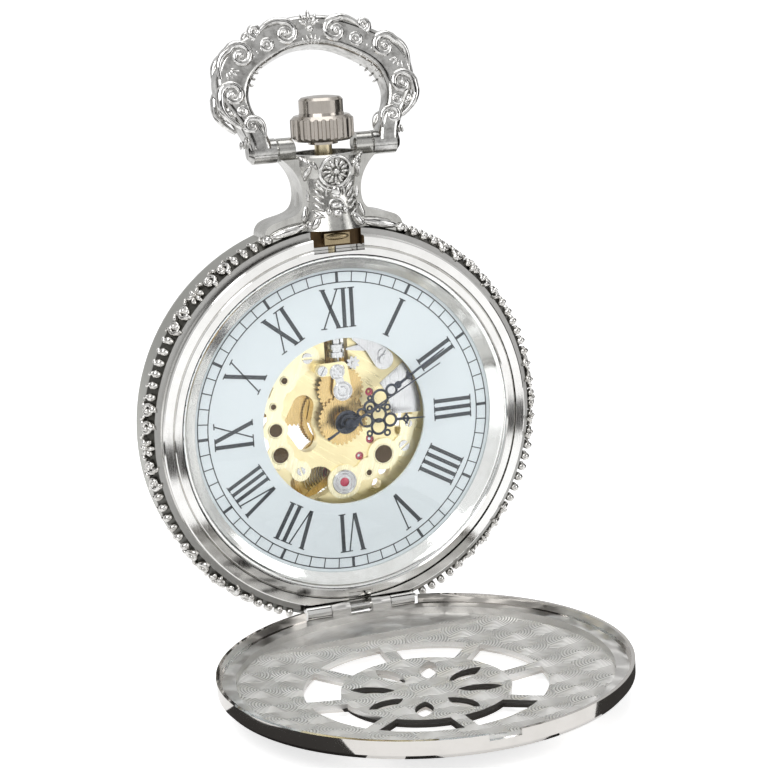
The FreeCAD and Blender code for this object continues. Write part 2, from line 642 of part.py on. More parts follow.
def bow_shape():
    """The bow drawn upright about its pivot line: a flat curved loop between two end barrels."""
    outer = bow_loop(size("bow_outer_half"), size("bow_outer_top"), 0.62, size("barrel_out") - 0.2)
    inner = bow_loop(size("bow_inner_half"), size("bow_inner_top"), 0.62, size("barrel_in") + 0.5)
    edges = [outer.toShape(), inner.toShape()]
    for first, last in ((outer.StartPoint, inner.StartPoint), (outer.EndPoint, inner.EndPoint)):
        edges.append(Part.LineSegment(first, last).toShape())
    outline = Part.Wire(Part.sortEdges(edges)[0])
    half = size("bow_thickness") / 2
    loop = Part.Face(outline).extrude(UP * 2 * half)
    loop.translate(point(0, 0, -half))
    longest = sorted(loop.Edges, key=lambda edge: edge.Length)[-4:]
    loop = loop.makeFillet(size("bow_fillet"), longest)
    for side in (-1, 1):
        inner_end = point(side * size("barrel_in"), 0, 0)
        outer_end = point(side * (size("barrel_out") - 0.5), 0, 0)
        loop = loop.fuse(rod(size("barrel_radius"), inner_end, outer_end))
        dome = Part.makeCone(size("barrel_radius"), size("barrel_radius") - 0.6, 0.5, outer_end,
                             point(side, 0, 0))
        loop = loop.fuse(dome)
        loop = loop.cut(rod(size("barrel_bore"), point(side * (size("barrel_in") - 1), 0, 0),
                            point(side * (size("barrel_out") - size("barrel_wall")), 0, 0)))
    return loop


pivot_at = point(0, size("pivot_level"), stem_height)
leaned = FreeCAD.Placement(pivot_at, FreeCAD.Rotation(TOWARDS_3, -size("bow_lean")))
solid_node("bow", bow_shape(), UPRIGHT.multiply(leaned))

sleeve = turned("sleeve_body", [
    ("stem_radius + fit_gap", "ring_radius - 3"),
    ("sleeve_radius", "ring_radius - 3"),
    ("sleeve_radius", "crown_base - fit_gap - collar_thickness"),
    ("stem_radius + fit_gap", "crown_base - fit_gap - collar_thickness"),
])
node(sleeve, "stem_sleeve", UPRIGHT.multiply(ALONG_STEM))
collar = turned("collar_body", [
    ("stem_radius + fit_gap", "crown_base - collar_thickness"),
    ("collar_radius", "crown_base - collar_thickness"),
    ("collar_radius", "crown_base"),
    ("stem_radius + fit_gap", "crown_base"),
])
node(collar, "push_collar", UPRIGHT.multiply(ALONG_STEM))

crown_ring = turned("crown_ring", [
    ("stem_radius", "crown_base + fit_gap"),
    ("crown_ring_radius - 0.45", "crown_base + fit_gap"),
    ("crown_ring_radius", "crown_base + 0.5"),
    ("crown_ring_radius", "crown_base + crown_ring_height - 0.45"),
    ("crown_ring_radius - 0.45", "crown_base + crown_ring_height"),
    ("crown_cap_radius + 0.1", "crown_base + crown_ring_height"),
    ("crown_cap_radius", "crown_base + crown_ring_height + 0.3"),
    ("crown_cap_radius", "crown_base + crown_ring_height + crown_cap_height - 0.4"),
    ("crown_cap_radius - 0.3", "crown_base + crown_ring_height + crown_cap_height - 0.1", "dome"),
    ("0", "crown_base + crown_ring_height + crown_cap_height + 0.1"),
    ("0", "crown_base + crown_ring_height"),
    ("stem_radius", "crown_base + crown_ring_height"),
])
doc.recompute()
flutes = []
for number in range(int(size("crown_flutes"))):
    x, y = polar(size("crown_ring_radius") + 0.12, 360.0 * number / size("crown_flutes"))
    flutes.append(Part.makeCylinder(size("flute_radius"), size("crown_ring_height") + 1,
                                    point(x, y, size("crown_base") - 0.5)))
crown_shape = crown_ring.Shape.cut(Part.makeCompound(flutes))
solid_node("crown", crown_shape, UPRIGHT.multiply(ALONG_STEM))
stem = turned("stem_body", [
    ("0", "clutch_from - 0.9"),
    ("stem_radius - 0.25", "clutch_from - 0.9"),
    ("stem_radius - 0.25", "clutch_from - 0.1"),
    ("stem_radius - 0.02", "clutch_from - 0.1"),
    ("stem_radius - 0.02", "crown_base + crown_ring_height - fit_gap"),
    ("0", "crown_base + crown_ring_height - fit_gap"),
])
node(stem, "winding_stem", UPRIGHT.multiply(ALONG_STEM))

# ---- movement: dial, plates, ring and bridges ----

dial_blank = cylinder("dial_blank", "dial_radius", "dial_front - dial_thickness", "dial_thickness")
dial_window = cylinder("dial_window", "window_radius", "dial_front - 2 * dial_thickness",
                       "3 * dial_thickness")
dial_cut = cut("dial_cut", dial_blank, [dial_window])
doc.recompute()
dial_shape = dial_cut.Shape
plate_front = size("plate_front")
plate_back = size("plate_back")
dial_back = size("dial_front") - size("dial_thickness")
foot_angles = (33.0, 153.0, 273.0)
for angle in foot_angles:
    x, y = polar(size("foot_circle"), angle)
    dial_shape = dial_shape.fuse(washer(size("foot_radius"), 0, plate_back + 0.3, dial_back, x, y))
solid_node("dial", dial_shape)

# Where the arbors stand, seen from the dial side.
distance = size("train_distance")
third_x = size("third_x")
third_y = math.sqrt(distance ** 2 - third_x ** 2)
pallet_x = size("pallet_x")
pallet_y = size("pallet_y")
balance_y = size("balance_y")
barrel_x = size("barrel_x")
barrel_y = size("barrel_y")
escape_distance = size("escape_radius") * 2 / math.sqrt(3)
pallet_reach = math.hypot(pallet_x, pallet_y)
along_pallet = (distance ** 2 - escape_distance ** 2 + pallet_reach ** 2) / (2 * pallet_reach)
beside_pallet = math.sqrt(distance ** 2 - along_pallet ** 2)
escape_x = (pallet_x * along_pallet - pallet_y * beside_pallet) / pallet_reach
escape_y = (pallet_y * along_pallet + pallet_x * beside_pallet) / pallet_reach
minute_y = size("motion_distance")
crown_wheel_y = size("crown_wheel_y")
motion_screw = (-2.4, 6.25)
cover_screw = (5.5, 6.5)
left_foot = (-14.5, 6.0)
right_foot = (5.8, 12.8)
top_foot = (-6.2, 14.2)
train_foot = (12.5, 3.5)
low_foot = (9.5, -10.5)
cock_foot = (-10.5, -8.0)
click_spring_post = (-12.2, 10.6)
screw_places = (motion_screw, cover_screw, left_foot, cock_foot, low_foot, train_foot, right_foot,
                top_foot)


def hull(circles, low, high):
    """A flat lobe shape: circles (x, y, radius) joined one to the next by straight bands."""
    shape = None
    for index, (x, y, radius) in enumerate(circles):
        piece = washer(radius, 0, low, high, x, y)
        if index > 0:
            x0, y0, radius0 = circles[index - 1]
            across = math.hypot(x - x0, y - y0)
            side_x = (y - y0) / across
            side_y = -(x - x0) / across
            band = flat([(x0 + side_x * radius0, y0 + side_y * radius0),
                         (x + side_x * radius, y + side_y * radius),
                         (x - side_x * radius, y - side_y * radius),
                         (x0 - side_x * radius0, y0 - side_y * radius0)], low, high)
            piece = piece.fuse(band)
        shape = piece if shape is None else shape.fuse(piece)
    return shape


def main_plate():
    """The bottom plate, with the openings that show the train through the dial."""
    plate = washer(size("plate_radius"), 0, plate_back, plate_front)
    low = plate_back - 1
    high = plate_front + 1
    openings = [
        hull([(-4.4, 2.0, 1.3), (-5.2, 0.0, 1.6), (-4.2, -2.2, 1.3)], low, high),
        hull([(-5.6, -7.0, 0.9), (-4.2, -7.6, 1.7), (-3.0, -7.2, 1.8)], low, high),
        hull([(8.2, 3.0, 1.0), (8.6, 0.0, 1.2), (7.6, -2.2, 1.0)], low, high),
        hull([(-5.8, 7.4, 0.9), (-7.2, 5.8, 0.8)], low, high),
        hull([(-9.0, 2.2, 0.6), (-9.0, -1.6, 0.6), (-7.8, -4.6, 0.6)], low, high),
        hull([(3.3, -5.6, 0.7), (4.8, -5.0, 0.7)], low, high),
    ]
    holes = ((5.1, -7.0, 0.75), (7.25, -4.8, 0.7), (4.0, -8.4, 0.6), (0.0, 0.0, 0.75))
    for x, y, radius in holes:
        openings.append(washer(radius, 0, low, high, x, y))
    for angle in foot_angles:
        x, y = polar(size("foot_circle"), angle)
        openings.append(washer(size("foot_radius") + 0.03, 0, low, high, x, y))
    for x, y in screw_places:
        openings.append(washer(size("screw_radius") / 2 + 0.02, 0, low, high, x, y))
    clutch_room = Part.makeBox(2.8, 5.0, 3.0, point(-1.4, size("clutch_from") - 2.1, low))
    pinion_room = Part.makeBox(3.0, 2.0, 3.0, point(-1.5, size("winding_level") - 1.0, low))
    stem_room = rod(size("sleeve_radius") + 0.05, point(0, 5, stem_height),
                    point(0, size("plate_radius") + 1, stem_height))
    openings += [clutch_room, pinion_room, stem_room]
    for x, y, radius in ((third_x, third_y, 0.5), (escape_x, escape_y, 0.5),
                         (pallet_x, pallet_y, 0.5), (0.0, balance_y, 1.3)):
        openings.append(washer(radius, 0, low, high, x, y))
    openings.append(washer(size("arbor_radius") + 0.35, 0, low, plate_back + 0.8, 0, crown_wheel_y))
    openings.append(washer(size("arbor_radius") + 0.6, 0, low, plate_back + 0.8, barrel_x, barrel_y))
    return plate.cut(Part.makeCompound(openings))


solid_node("main_plate", main_plate())
movement_ring = turned("movement_ring_body", [
    ("plate_radius + fit_gap", "ring_back"),
    ("ring_radius", "ring_back"),
    ("ring_radius", "plate_front"),
    ("plate_radius + fit_gap", "plate_front"),
])
doc.recompute()
ring_shape = movement_ring.Shape.cut(rod(size("sleeve_radius") + 0.1, point(0, 10, stem_height),
                                         point(0, 25, stem_height)))
solid_node("movement_ring", ring_shape)

bridge_back = size("bridge_back")
bridge_front = size("bridge_front")
arbor = size("arbor_radius")
jewel_radius = size("jewel_radius")
jewel_hole = arbor + size("jewel_play")
jewel_seat = jewel_radius - size("jewel_chamfer")
pillar = size("pillar_radius")
boss = size("boss_radius")


def foot(x, y, radius, low):
    """A pillar under a bridge, down to the main plate."""
    return washer(radius, 0, low, plate_back, x, y)


def drilled(shape, holes):
    """The same shape with through holes given as (x, y, radius)."""
    for x, y, radius in holes:
        shape = bored(shape, radius, x, y)
    return shape


shank = size("screw_radius") / 2
screw_hole = shank + size("screw_play")
post_hole = size("post_hole")
click_post = (size("click_x"), size("click_y"))
barrel_boss = (barrel_x, barrel_y, size("barrel_boss"))
barrel_bridge = hull([(*left_foot, boss), barrel_boss, (0, crown_wheel_y, 2.2),
                      (*right_foot, boss)], bridge_back, bridge_front)
barrel_bridge = barrel_bridge.fuse(hull([barrel_boss, (*top_foot, boss), (*click_post, 1.6),
                                         (*click_spring_post, 1.1)], bridge_back, bridge_front))
for x, y in (left_foot, right_foot, top_foot):
    barrel_bridge = barrel_bridge.fuse(foot(x, y, pillar, bridge_front))
barrel_bridge = drilled(barrel_bridge, [
    (barrel_x, barrel_y, size("bush_radius")), (0, crown_wheel_y, size("crown_post_hole")),
    (*left_foot, screw_hole), (*right_foot, screw_hole), (*top_foot, screw_hole),
    (*click_post, post_hole), (*click_spring_post, post_hole)])
solid_node("barrel_bridge", barrel_bridge)

elbow = (9.5, -4.0, 0.9)
train_bridge = hull([(0, 0, 1.1), (third_x, third_y, 1.2), (*train_foot, boss), elbow,
                     (escape_x, escape_y, 0.62)], bridge_back, bridge_front)
train_bridge = train_bridge.fuse(hull([elbow, (*low_foot, 1.6)], bridge_back, bridge_front))
for x, y in (train_foot, low_foot):
    train_bridge = train_bridge.fuse(foot(x, y, pillar, bridge_front))
bridge_jewel_places = ((0, 0), (third_x, third_y), (escape_x, escape_y))
train_bridge = drilled(train_bridge, [(x, y, jewel_radius) for x, y in bridge_jewel_places])
train_bridge = drilled(train_bridge, [(*train_foot, screw_hole), (*low_foot, screw_hole)])
solid_node("train_bridge", train_bridge)

pallet_bridge_low = size("pallet_bridge_low")
pallet_bridge_high = size("pallet_bridge_high")
pallet_foot = (6.2, -6.0)
pallet_bridge = hull([(pallet_x, pallet_y, 0.65), (*pallet_foot, 0.8)],
                     pallet_bridge_low, pallet_bridge_high)
pallet_bridge = pallet_bridge.fuse(foot(*pallet_foot, 0.7, pallet_bridge_high))
pallet_bridge = drilled(pallet_bridge, [(pallet_x, pallet_y, jewel_radius)])
solid_node("pallet_bridge", pallet_bridge)

cock_back = size("cock_back")
cock_front = size("cock_front")
balance_cock = hull([(0, balance_y, boss), (-5.5, -9.2, 1.5), (*cock_foot, 2.1)],
                    cock_back, cock_front)
balance_cock = balance_cock.fuse(foot(*cock_foot, 1.6, cock_front))
setting_room = size("cock_setting_radius") + size("screw_play")
balance_cock = drilled(balance_cock, [(0, balance_y, setting_room), (*cock_foot, screw_hole)])
solid_node("balance_cock", balance_cock)

# ---- jewels and screws ----

jewels = []
for x, y in ((third_x, third_y), (escape_x, escape_y), (pallet_x, pallet_y)):
    jewels.append(washer(jewel_radius, jewel_hole, plate_front - 1.0, plate_front - 0.2, x, y))
for x, y in bridge_jewel_places:
    jewels.append(washer(jewel_seat, jewel_hole, bridge_back + 0.1, bridge_front - 0.1, x, y))
jewels.append(washer(jewel_seat, jewel_hole, pallet_bridge_low, pallet_bridge_high,
                     pallet_x, pallet_y))
solid_node("train_jewels", Part.makeCompound(jewels))
front_setting = washer(size("setting_radius"), 0, plate_front - 0.9, plate_front - 0.1, 0, balance_y)
front_setting = front_setting.cut(washer(jewel_hole, 0, 0, plate_front - 0.4, 0, balance_y))
back_setting = washer(size("cock_setting_radius"), 0, cock_back + 0.1, cock_front, 0, balance_y)
back_setting = back_setting.cut(washer(jewel_hole, 0, cock_back + 0.3, cock_front, 0, balance_y))
solid_node("balance_jewels", Part.makeCompound([front_setting, back_setting]))
bush = washer(size("bush_radius"), size("tube_radius") + size("screw_play"), plate_back + 0.1, plate_front - 0.1)
solid_node("centre_bush", bush)


def screw(x, y, seat, tip, head=None, slot_angle=30):
    """A slotted cheese-head screw whose head sits on seat; tip may lie above or below it."""
    radius = size("screw_radius") if head is None else head
    tall = size("screw_head")
    way = 1 if tip > seat else -1
    top = seat - way * tall
    body = washer(radius, 0, min(seat, top), max(seat, top), x, y)
    body = body.fuse(washer(shank, 0, min(seat, tip), max(seat, tip), x, y))
    slot = Part.makeBox(4 * radius, 0.2, 0.36, point(-2 * radius, -0.1, -0.18))
    slot.rotate(ORIGIN, UP, slot_angle)
    slot.translate(point(x, y, top))
    return body.cut(slot)


minute_bridge_back = size("minute_bridge_back")
minute_bridge_front = size("minute_bridge_front")
cover_high = size("cover_high")
cover_low = cover_high - size("cover_thickness")
small_head = size("small_head_radius")
screws = []
for number, (x, y) in enumerate((left_foot, right_foot, top_foot, train_foot, low_foot)):
    screws.append(screw(x, y, bridge_back, plate_front - 0.2, slot_angle=40 * number))
screws.append(screw(*cock_foot, cock_back, plate_front - 0.2, slot_angle=75))
screws.append(screw(*motion_screw, minute_bridge_front, plate_back + 0.2, small_head, 60))
screws.append(screw(*cover_screw, cover_high, plate_back + 0.2, small_head, 130))
solid_node("movement_screws", Part.makeCompound(screws))
ring_screws = []
for angle in (140, 320):
    x, y = polar(size("plate_radius") - 0.55, angle)
    ring_screws.append(screw(x, y, size("ring_back"), size("ring_back") + 1.1, 0.95, angle))
solid_node("ring_screws", Part.makeCompound(ring_screws))

# ---- going train ----

barrel_distance = math.hypot(barrel_x, barrel_y)
centre_module = 2 * distance / (size("centre_teeth") + size("pinion_leaves"))
third_module = 2 * distance / (size("third_teeth") + size("pinion_leaves"))
fourth_module = 2 * distance / (size("fourth_teeth") + size("escape_leaves"))
barrel_module = 2 * barrel_distance / (size("barrel_teeth") + size("centre_leaves"))
thick = size("wheel_thickness")
pivot_low = bridge_back + 0.1
pivot_high = plate_front - 0.3
centre_level = size("centre_wheel_level")
fourth_level = size("fourth_wheel_level")
third_level = size("third_wheel_level")
leaves = int(size("pinion_leaves"))
to_third = bearing_towards(0, 0, third_x, third_y)
to_escape = bearing_towards(0, 0, escape_x, escape_y)
to_barrel = bearing_towards(0, 0, barrel_x, barrel_y)


def gap_facing(teeth, bearing):
    """The facing that puts a tooth space, not a tooth, on a bearing."""
    return bearing + 180.0 / teeth


tube = washer(size("tube_radius"), size("tube_bore"), size("barrel_floor"), size("minute_hand_level") - 0.1)
centre = wheel(int(size("centre_teeth")), centre_module, centre_level, centre_level + thick, 0, 0,
               to_third, 0.45, 0.9, 5, size("tube_bore"))
centre = centre.fuse(tube)
centre_pinion = gear(int(size("centre_leaves")), barrel_module, 5.35, centre_level - 0.1, 0, 0,
                     to_barrel)
centre = centre.fuse(bored(centre_pinion, size("tube_bore")))
solid_node("centre_wheel", centre)

third = wheel(int(size("third_teeth")), third_module, third_level, third_level + thick,
              third_x, third_y, to_third + 180, 0.45, 0.8, 5, 0)
third = third.fuse(gear(leaves, centre_module, centre_level - 0.1, centre_level + 0.25, third_x,
                        third_y, gap_facing(leaves, to_third + 180)))
third = third.fuse(washer(arbor, 0, pivot_low, pivot_high, third_x, third_y))
solid_node("third_wheel", third)

fourth = wheel(int(size("fourth_teeth")), fourth_module, fourth_level, fourth_level + thick, 0, 0,
               to_escape, 0.45, 0.8, 5, 0)
fourth = fourth.fuse(gear(leaves, third_module, third_level - 0.08, third_level + 0.25, 0, 0,
                          gap_facing(leaves, to_third)))
fourth = fourth.fuse(washer(arbor, 0, pivot_low, size("second_hand_level") + 0.35))
solid_node("fourth_wheel", fourth)

escape_level = size("escape_level")
escape_radius = size("escape_radius")
escape_teeth = int(size("escape_teeth"))


def escape_wheel():
    """A club-toothed wheel: each tooth leans forward from the rim."""
    pitch = 360.0 / escape_teeth
    outline = []
    for number in range(escape_teeth):
        start = number * pitch
        for radius, offset in ((0.74, 0.0), (0.74, 0.42), (1.0, 0.86), (0.93, 1.0), (0.78, 0.9)):
            outline.append(polar(radius * escape_radius, start + offset * pitch, escape_x, escape_y))
    disc = flat(outline, escape_level, escape_level + thick)
    for number in range(5):
        x, y = polar(0.48 * escape_radius, 72 * number, escape_x, escape_y)
        disc = disc.cut(washer(0.36, 0, escape_level, escape_level + thick, x, y))
    return disc


escape = escape_wheel().fuse(gear(int(size("escape_leaves")), fourth_module, fourth_level - 0.1,
                                  fourth_level + 0.25, escape_x, escape_y,
                                  gap_facing(int(size("escape_leaves")), to_escape + 180)))
escape = escape.fuse(washer(arbor, 0, pivot_low, pivot_high, escape_x, escape_y))
solid_node("escape_wheel", escape)

to_pallet = bearing_towards(escape_x, escape_y, pallet_x, pallet_y)
to_staff = bearing_towards(pallet_x, pallet_y, 0, balance_y)
fork_length = math.hypot(pallet_x, pallet_y - balance_y) - 1.25
fork_tip = polar(fork_length, to_staff, pallet_x, pallet_y)
pallet = hull([(pallet_x, pallet_y, 0.3), (fork_tip[0], fork_tip[1], 0.16)], escape_level,
              escape_level + thick)
for side in (-1, 1):
    horn = polar(0.32, to_staff + 55 * side, fork_tip[0], fork_tip[1])
    pallet = pallet.fuse(hull([(fork_tip[0], fork_tip[1], 0.16), (horn[0], horn[1], 0.09)],
                              escape_level, escape_level + thick))
    elbow = polar(escape_distance + 0.12, to_pallet + 15 * side, escape_x, escape_y)
    stone = polar(escape_radius + 0.24, to_pallet + 30 * side, escape_x, escape_y)
    pallet = pallet.fuse(hull([(pallet_x, pallet_y, 0.24), (elbow[0], elbow[1], 0.15),
                               (stone[0], stone[1], 0.15)], escape_level, escape_level + thick))
pallet = pallet.fuse(washer(arbor, 0, pallet_bridge_low, pivot_high, pallet_x, pallet_y))
solid_node("pallet_fork", pallet)

balance_back = size("balance_back")
balance_front = size("balance_front")
balance_radius = size("balance_radius")
balance = washer(balance_radius, balance_radius - 0.55, balance_back, balance_front, 0, balance_y)
arm = Part.makeBox(2 * balance_radius - 0.8, 0.8, 0.25,
                   point(0.4 - balance_radius, -0.4, balance_back + 0.2))
arm.rotate(ORIGIN, UP, 35)
arm.translate(point(0, balance_y, 0))
balance = balance.fuse(arm)
balance = balance.fuse(washer(0.8, 0, balance_back + 0.05, balance_front, 0, balance_y))
balance = balance.fuse(washer(arbor, 0, cock_back + 0.35, plate_front - 0.45, 0, balance_y))
balance = balance.fuse(washer(0.42, 0, 2.95, 3.5, 0, balance_y))
balance = balance.fuse(washer(0.85, 0, 5.3, 5.45, 0, balance_y))
pin_x, pin_y = polar(0.62, to_staff + 180, 0, balance_y)
balance = balance.fuse(washer(0.12, 0, 5.4, escape_level + thick, pin_x, pin_y))
solid_node("balance_wheel", balance)


def coil(inner, outer, turns, strip, low, high, x, y):
    """A flat spiral strip between two radii."""
    steps = int(turns * 24)
    inside = []
    outside = []
    for step in range(steps + 1):
        radius = inner + (outer - inner) * step / steps
        angle = 360.0 * turns * step / steps
        inside.append(polar(radius, angle, x, y))
        outside.append(polar(radius + strip, angle, x, y))
    return flat(inside + outside[::-1], low, high)


spring_level = size("hairspring_level")
solid_node("hairspring", coil(0.47, 3.6, 9, 0.09, spring_level, spring_level + 0.3, 0, balance_y))

barrel_low = size("barrel_floor")
barrel_high = size("barrel_lid")
drum_radius = size("barrel_teeth") * barrel_module / 2 - 0.9 * barrel_module - 0.2
drum = washer(drum_radius, 0, barrel_low, barrel_high, barrel_x, barrel_y)
drum = drum.fuse(gear(int(size("barrel_teeth")), barrel_module, barrel_low + 0.5, barrel_low + 0.8,
                      barrel_x, barrel_y, gap_facing(int(size("barrel_teeth")), to_barrel + 180)))
drum = drum.cut(washer(drum_radius - 0.45, 0, barrel_low + 0.12, barrel_high - 0.12,
                       barrel_x, barrel_y))
drum = bored(drum, 0.75, barrel_x, barrel_y)
solid_node("mainspring_barrel", drum)
solid_node("mainspring", coil(1.25, drum_radius - 0.75, 8, 0.16, barrel_low + 0.2,
                              barrel_high - 0.2, barrel_x, barrel_y))
core = washer(1.15, 0, barrel_low + 0.18, barrel_high - 0.18, barrel_x, barrel_y)
core = core.fuse(washer(0.7, 0, size("ratchet_level") - 0.05, plate_back + 0.6, barrel_x, barrel_y))
solid_node("barrel_arbor", core)

# ---- winding and setting work ----

ratchet_level = size("ratchet_level")
ratchet_top = ratchet_level + size("ratchet_thickness")
winding_distance = math.hypot(barrel_x, crown_wheel_y - barrel_y)
winding_module = 2 * winding_distance / (size("ratchet_teeth") + size("crown_teeth"))
to_crown = bearing_towards(barrel_x, barrel_y, 0, crown_wheel_y)
ratchet = gear(int(size("ratchet_teeth")), winding_module, ratchet_level, ratchet_top, barrel_x,
               barrel_y, to_crown)
solid_node("ratchet_wheel", bored(ratchet, 0.71, barrel_x, barrel_y))
crown_wheel = gear(int(size("crown_teeth")), winding_module, ratchet_level, ratchet_top, 0,
                   crown_wheel_y, gap_facing(int(size("crown_teeth")), to_crown + 180))
crown_wheel = crown_wheel.fuse(washer(0.45, 0, ratchet_level, plate_back + 0.7, 0, crown_wheel_y))
contrate = size("contrate_radius")
crown_wheel = crown_wheel.fuse(washer(contrate, 0, 6.0, 6.15, 0, crown_wheel_y))
crown_wheel = crown_wheel.fuse(washer(contrate, contrate - 0.4, 6.0, 6.5, 0, crown_wheel_y))
solid_node("crown_wheel", crown_wheel)
click_x = size("click_x")
click_y = size("click_y")
click = hull([(click_x, click_y, 0.6), (-8.95, 9.2, 0.2)], ratchet_level, ratchet_top)
click = click.fuse(washer(0.25, 0, ratchet_level, bridge_front - 0.1, click_x, click_y))
solid_node("click", click)
click_spring = hull([(-12.2, 10.6, 0.5), (-11.1, 10.4, 0.12), (-10.1, 9.5, 0.1)], ratchet_level,
                    ratchet_top - 0.1)
click_spring = click_spring.fuse(washer(0.25, 0, ratchet_level, bridge_front - 0.1, -12.2, 10.6))
solid_node("click_spring", click_spring)


stem_bore = size("stem_radius") + 0.02
winding_pinion = gear(16, 2 * (size("winding_radius") - 0.06) / 16.0, size("winding_level") - 0.7,
                      size("winding_level") + 0.7)
solid_node("winding_pinion", bored(winding_pinion, stem_bore), UPRIGHT.multiply(ALONG_STEM))
clutch = washer(size("clutch_radius"), stem_bore, size("clutch_from"), size("clutch_to"))
clutch_groove = washer(size("clutch_radius") + 0.1, size("clutch_radius") - 0.25,
                       size("clutch_from") + 0.55, size("clutch_from") + 0.95)
solid_node("sliding_clutch", clutch.cut(clutch_groove), UPRIGHT.multiply(ALONG_STEM))
yoke_pivot = (3.7, size("clutch_from") + 0.75)
yoke = hull([(yoke_pivot[0], yoke_pivot[1], 0.5), (1.25, yoke_pivot[1], 0.14)],
            plate_front + 0.05, plate_front + 0.35)
solid_node("yoke", bored(yoke, 0.2, yoke_pivot[0], yoke_pivot[1]))
lever_pivot = (-3.6, 11.9)
lever = hull([(lever_pivot[0], lever_pivot[1], 0.55), (-0.85, lever_pivot[1], 0.16)],
             plate_front + 0.05, plate_front + 0.35)
solid_node("setting_lever", bored(lever, 0.2, lever_pivot[0], lever_pivot[1]))
posts = [washer(0.18, 0, plate_front, plate_front + 0.5, *yoke_pivot),
         washer(0.18, 0, plate_front, plate_front + 0.5, *lever_pivot),
         washer(0.2, 0, plate_front, minute_bridge_front, 0, minute_y)]

# ---- motion work and hands ----

motion_module = 2 * minute_y / (size("cannon_leaves") + size("minute_teeth"))
hour_module = 2 * minute_y / (size("minute_leaves") + size("hour_teeth"))
minute_level = size("minute_level")
hour_level = size("hour_level")
minute_hand_level = size("minute_hand_level")
hour_hand_level = size("hour_hand_level")
cannon = washer(size("cannon_radius"), size("tube_radius"), plate_front + 0.1, minute_hand_level)
cannon = cannon.fuse(bored(gear(int(size("cannon_leaves")), motion_module, minute_level - 0.1,
                                minute_level + 0.22, 0, 0, 0.0), size("tube_radius")))
solid_node("cannon_pinion", cannon)
minute_wheel = gear(int(size("minute_teeth")), motion_module, minute_level, minute_level + thick, 0,
                    minute_y, gap_facing(int(size("minute_teeth")), 180))
minute_wheel = minute_wheel.fuse(gear(int(size("minute_leaves")), hour_module, minute_level,
                                      hour_level + 0.22, 0, minute_y, 180.0))
solid_node("minute_wheel", bored(minute_wheel, 0.23, 0, minute_y))
hour_bore = size("cannon_radius") + 0.03
hour_wheel = gear(int(size("hour_teeth")), hour_module, hour_level, hour_level + thick, 0, 0,
                  gap_facing(int(size("hour_teeth")), 0))
hour_wheel = hour_wheel.fuse(washer(size("pipe_radius"), 0, hour_level,
                                    hour_hand_level + size("hand_thickness")))
solid_node("hour_wheel", bored(hour_wheel, hour_bore))
setting_angle = 30.0
setting_distance = (size("minute_teeth") + size("setting_teeth")) * motion_module / 2
setting_x, setting_y = polar(setting_distance, setting_angle, 0, minute_y)
setting_wheel = gear(int(size("setting_teeth")), motion_module, minute_level, minute_level + thick,
                     setting_x, setting_y, setting_angle + 180)
solid_node("setting_wheel", bored(setting_wheel, 0.23, setting_x, setting_y))
posts.append(washer(0.2, 0, plate_front, hour_level, setting_x, setting_y))
solid_node("dial_side_posts", Part.makeCompound(posts))

minute_bridge = hull([(-2.4, 6.25, 0.75), (0, 6.25, 0.8), (0, minute_y, 1.15)],
                     minute_bridge_back, minute_bridge_front)
minute_bridge = minute_bridge.fuse(washer(0.6, 0, plate_front, minute_bridge_back, -2.4, 6.25))
minute_bridge = drilled(minute_bridge, [(-2.4, 6.25, shank + 0.02), (0, 6.25, 0.4),
                                        (0, minute_y, 0.22)])
solid_node("minute_bridge", minute_bridge)
cover = hull([(5.5, 6.5, 1.2), (4.2, 8.4, 1.0), (2.5, 9.7, 0.8)], cover_low, cover_high)
cover = cover.fuse(washer(0.8, 0, plate_front, cover_low, 5.5, 6.5))
solid_node("setting_cover", drilled(cover, [(5.5, 6.5, shank + 0.02)]))


def hand(level, length, hub, bore, loop_at, cross_at, width):
    """An openwork hand that points to 12: hub, stem, loop, cross and a long tip."""
    high = level + size("hand_thickness")
    shape = hull([(0, 0, width), (0, loop_at, width * 0.7), (0, cross_at, width * 0.9),
                  (0, length, 0.06)], level, high)
    for at, radius in ((loop_at, 0.95), (loop_at + 1.5, 0.62), (cross_at, 0.5)):
        shape = shape.fuse(washer(radius, 0, level, high, 0, at))
        shape = shape.cut(washer(radius - 0.26, 0, level, high, 0, at))
    for side in (-1, 1):
        shape = shape.fuse(washer(0.3, 0, level, high, side * 0.72, cross_at))
    shape = shape.fuse(washer(hub, 0, level, high))
    return bored(shape, bore)


hour_hand = hand(hour_hand_level, size("hour_hand_length"), 1.3, size("pipe_radius"), 4.0, 7.0, 0.2)
hour_hand.rotate(ORIGIN, UP, -size("hour_hand_angle"))
solid_node("hour_hand", hour_hand)
minute_hand = hand(minute_hand_level, size("minute_hand_length"), 1.05, size("tube_radius"), 6.0,
                   9.3, 0.17)
minute_hand.rotate(ORIGIN, UP, -size("minute_hand_angle"))
solid_node("minute_hand", minute_hand)
second_level = size("second_hand_level")
second_hand = hull([(0, -size("second_hand_tail"), 0.12), (0, size("second_hand_length"), 0.05)],
                   second_level, second_level + size("hand_thickness"))
second_hand = second_hand.fuse(washer(0.55, 0, second_level, second_level + size("hand_thickness")))
second_hand = bored(second_hand, arbor)
second_hand.rotate(ORIGIN, UP, -size("second_hand_angle"))
solid_node("second_hand", second_hand)

for feature in doc.Objects:
    if "Invalid" in feature.State or "Error" in feature.State:
        raise RuntimeError("%s is %s" % (feature.Label, feature.State))
os.makedirs("parts", exist_ok=True)
for feature in nodes:
    if feature.Shape.isNull() or not feature.Shape.isValid():
        raise RuntimeError("%s has no valid shape" % feature.Label)
    feature.Shape.exportStep("parts/%s.step" % feature.Label)
    print(feature.Label, len(feature.Shape.Solids), round(feature.Shape.Volume, 3))
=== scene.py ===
import math

import bmesh
import bpy
from mathutils import Matrix, Vector


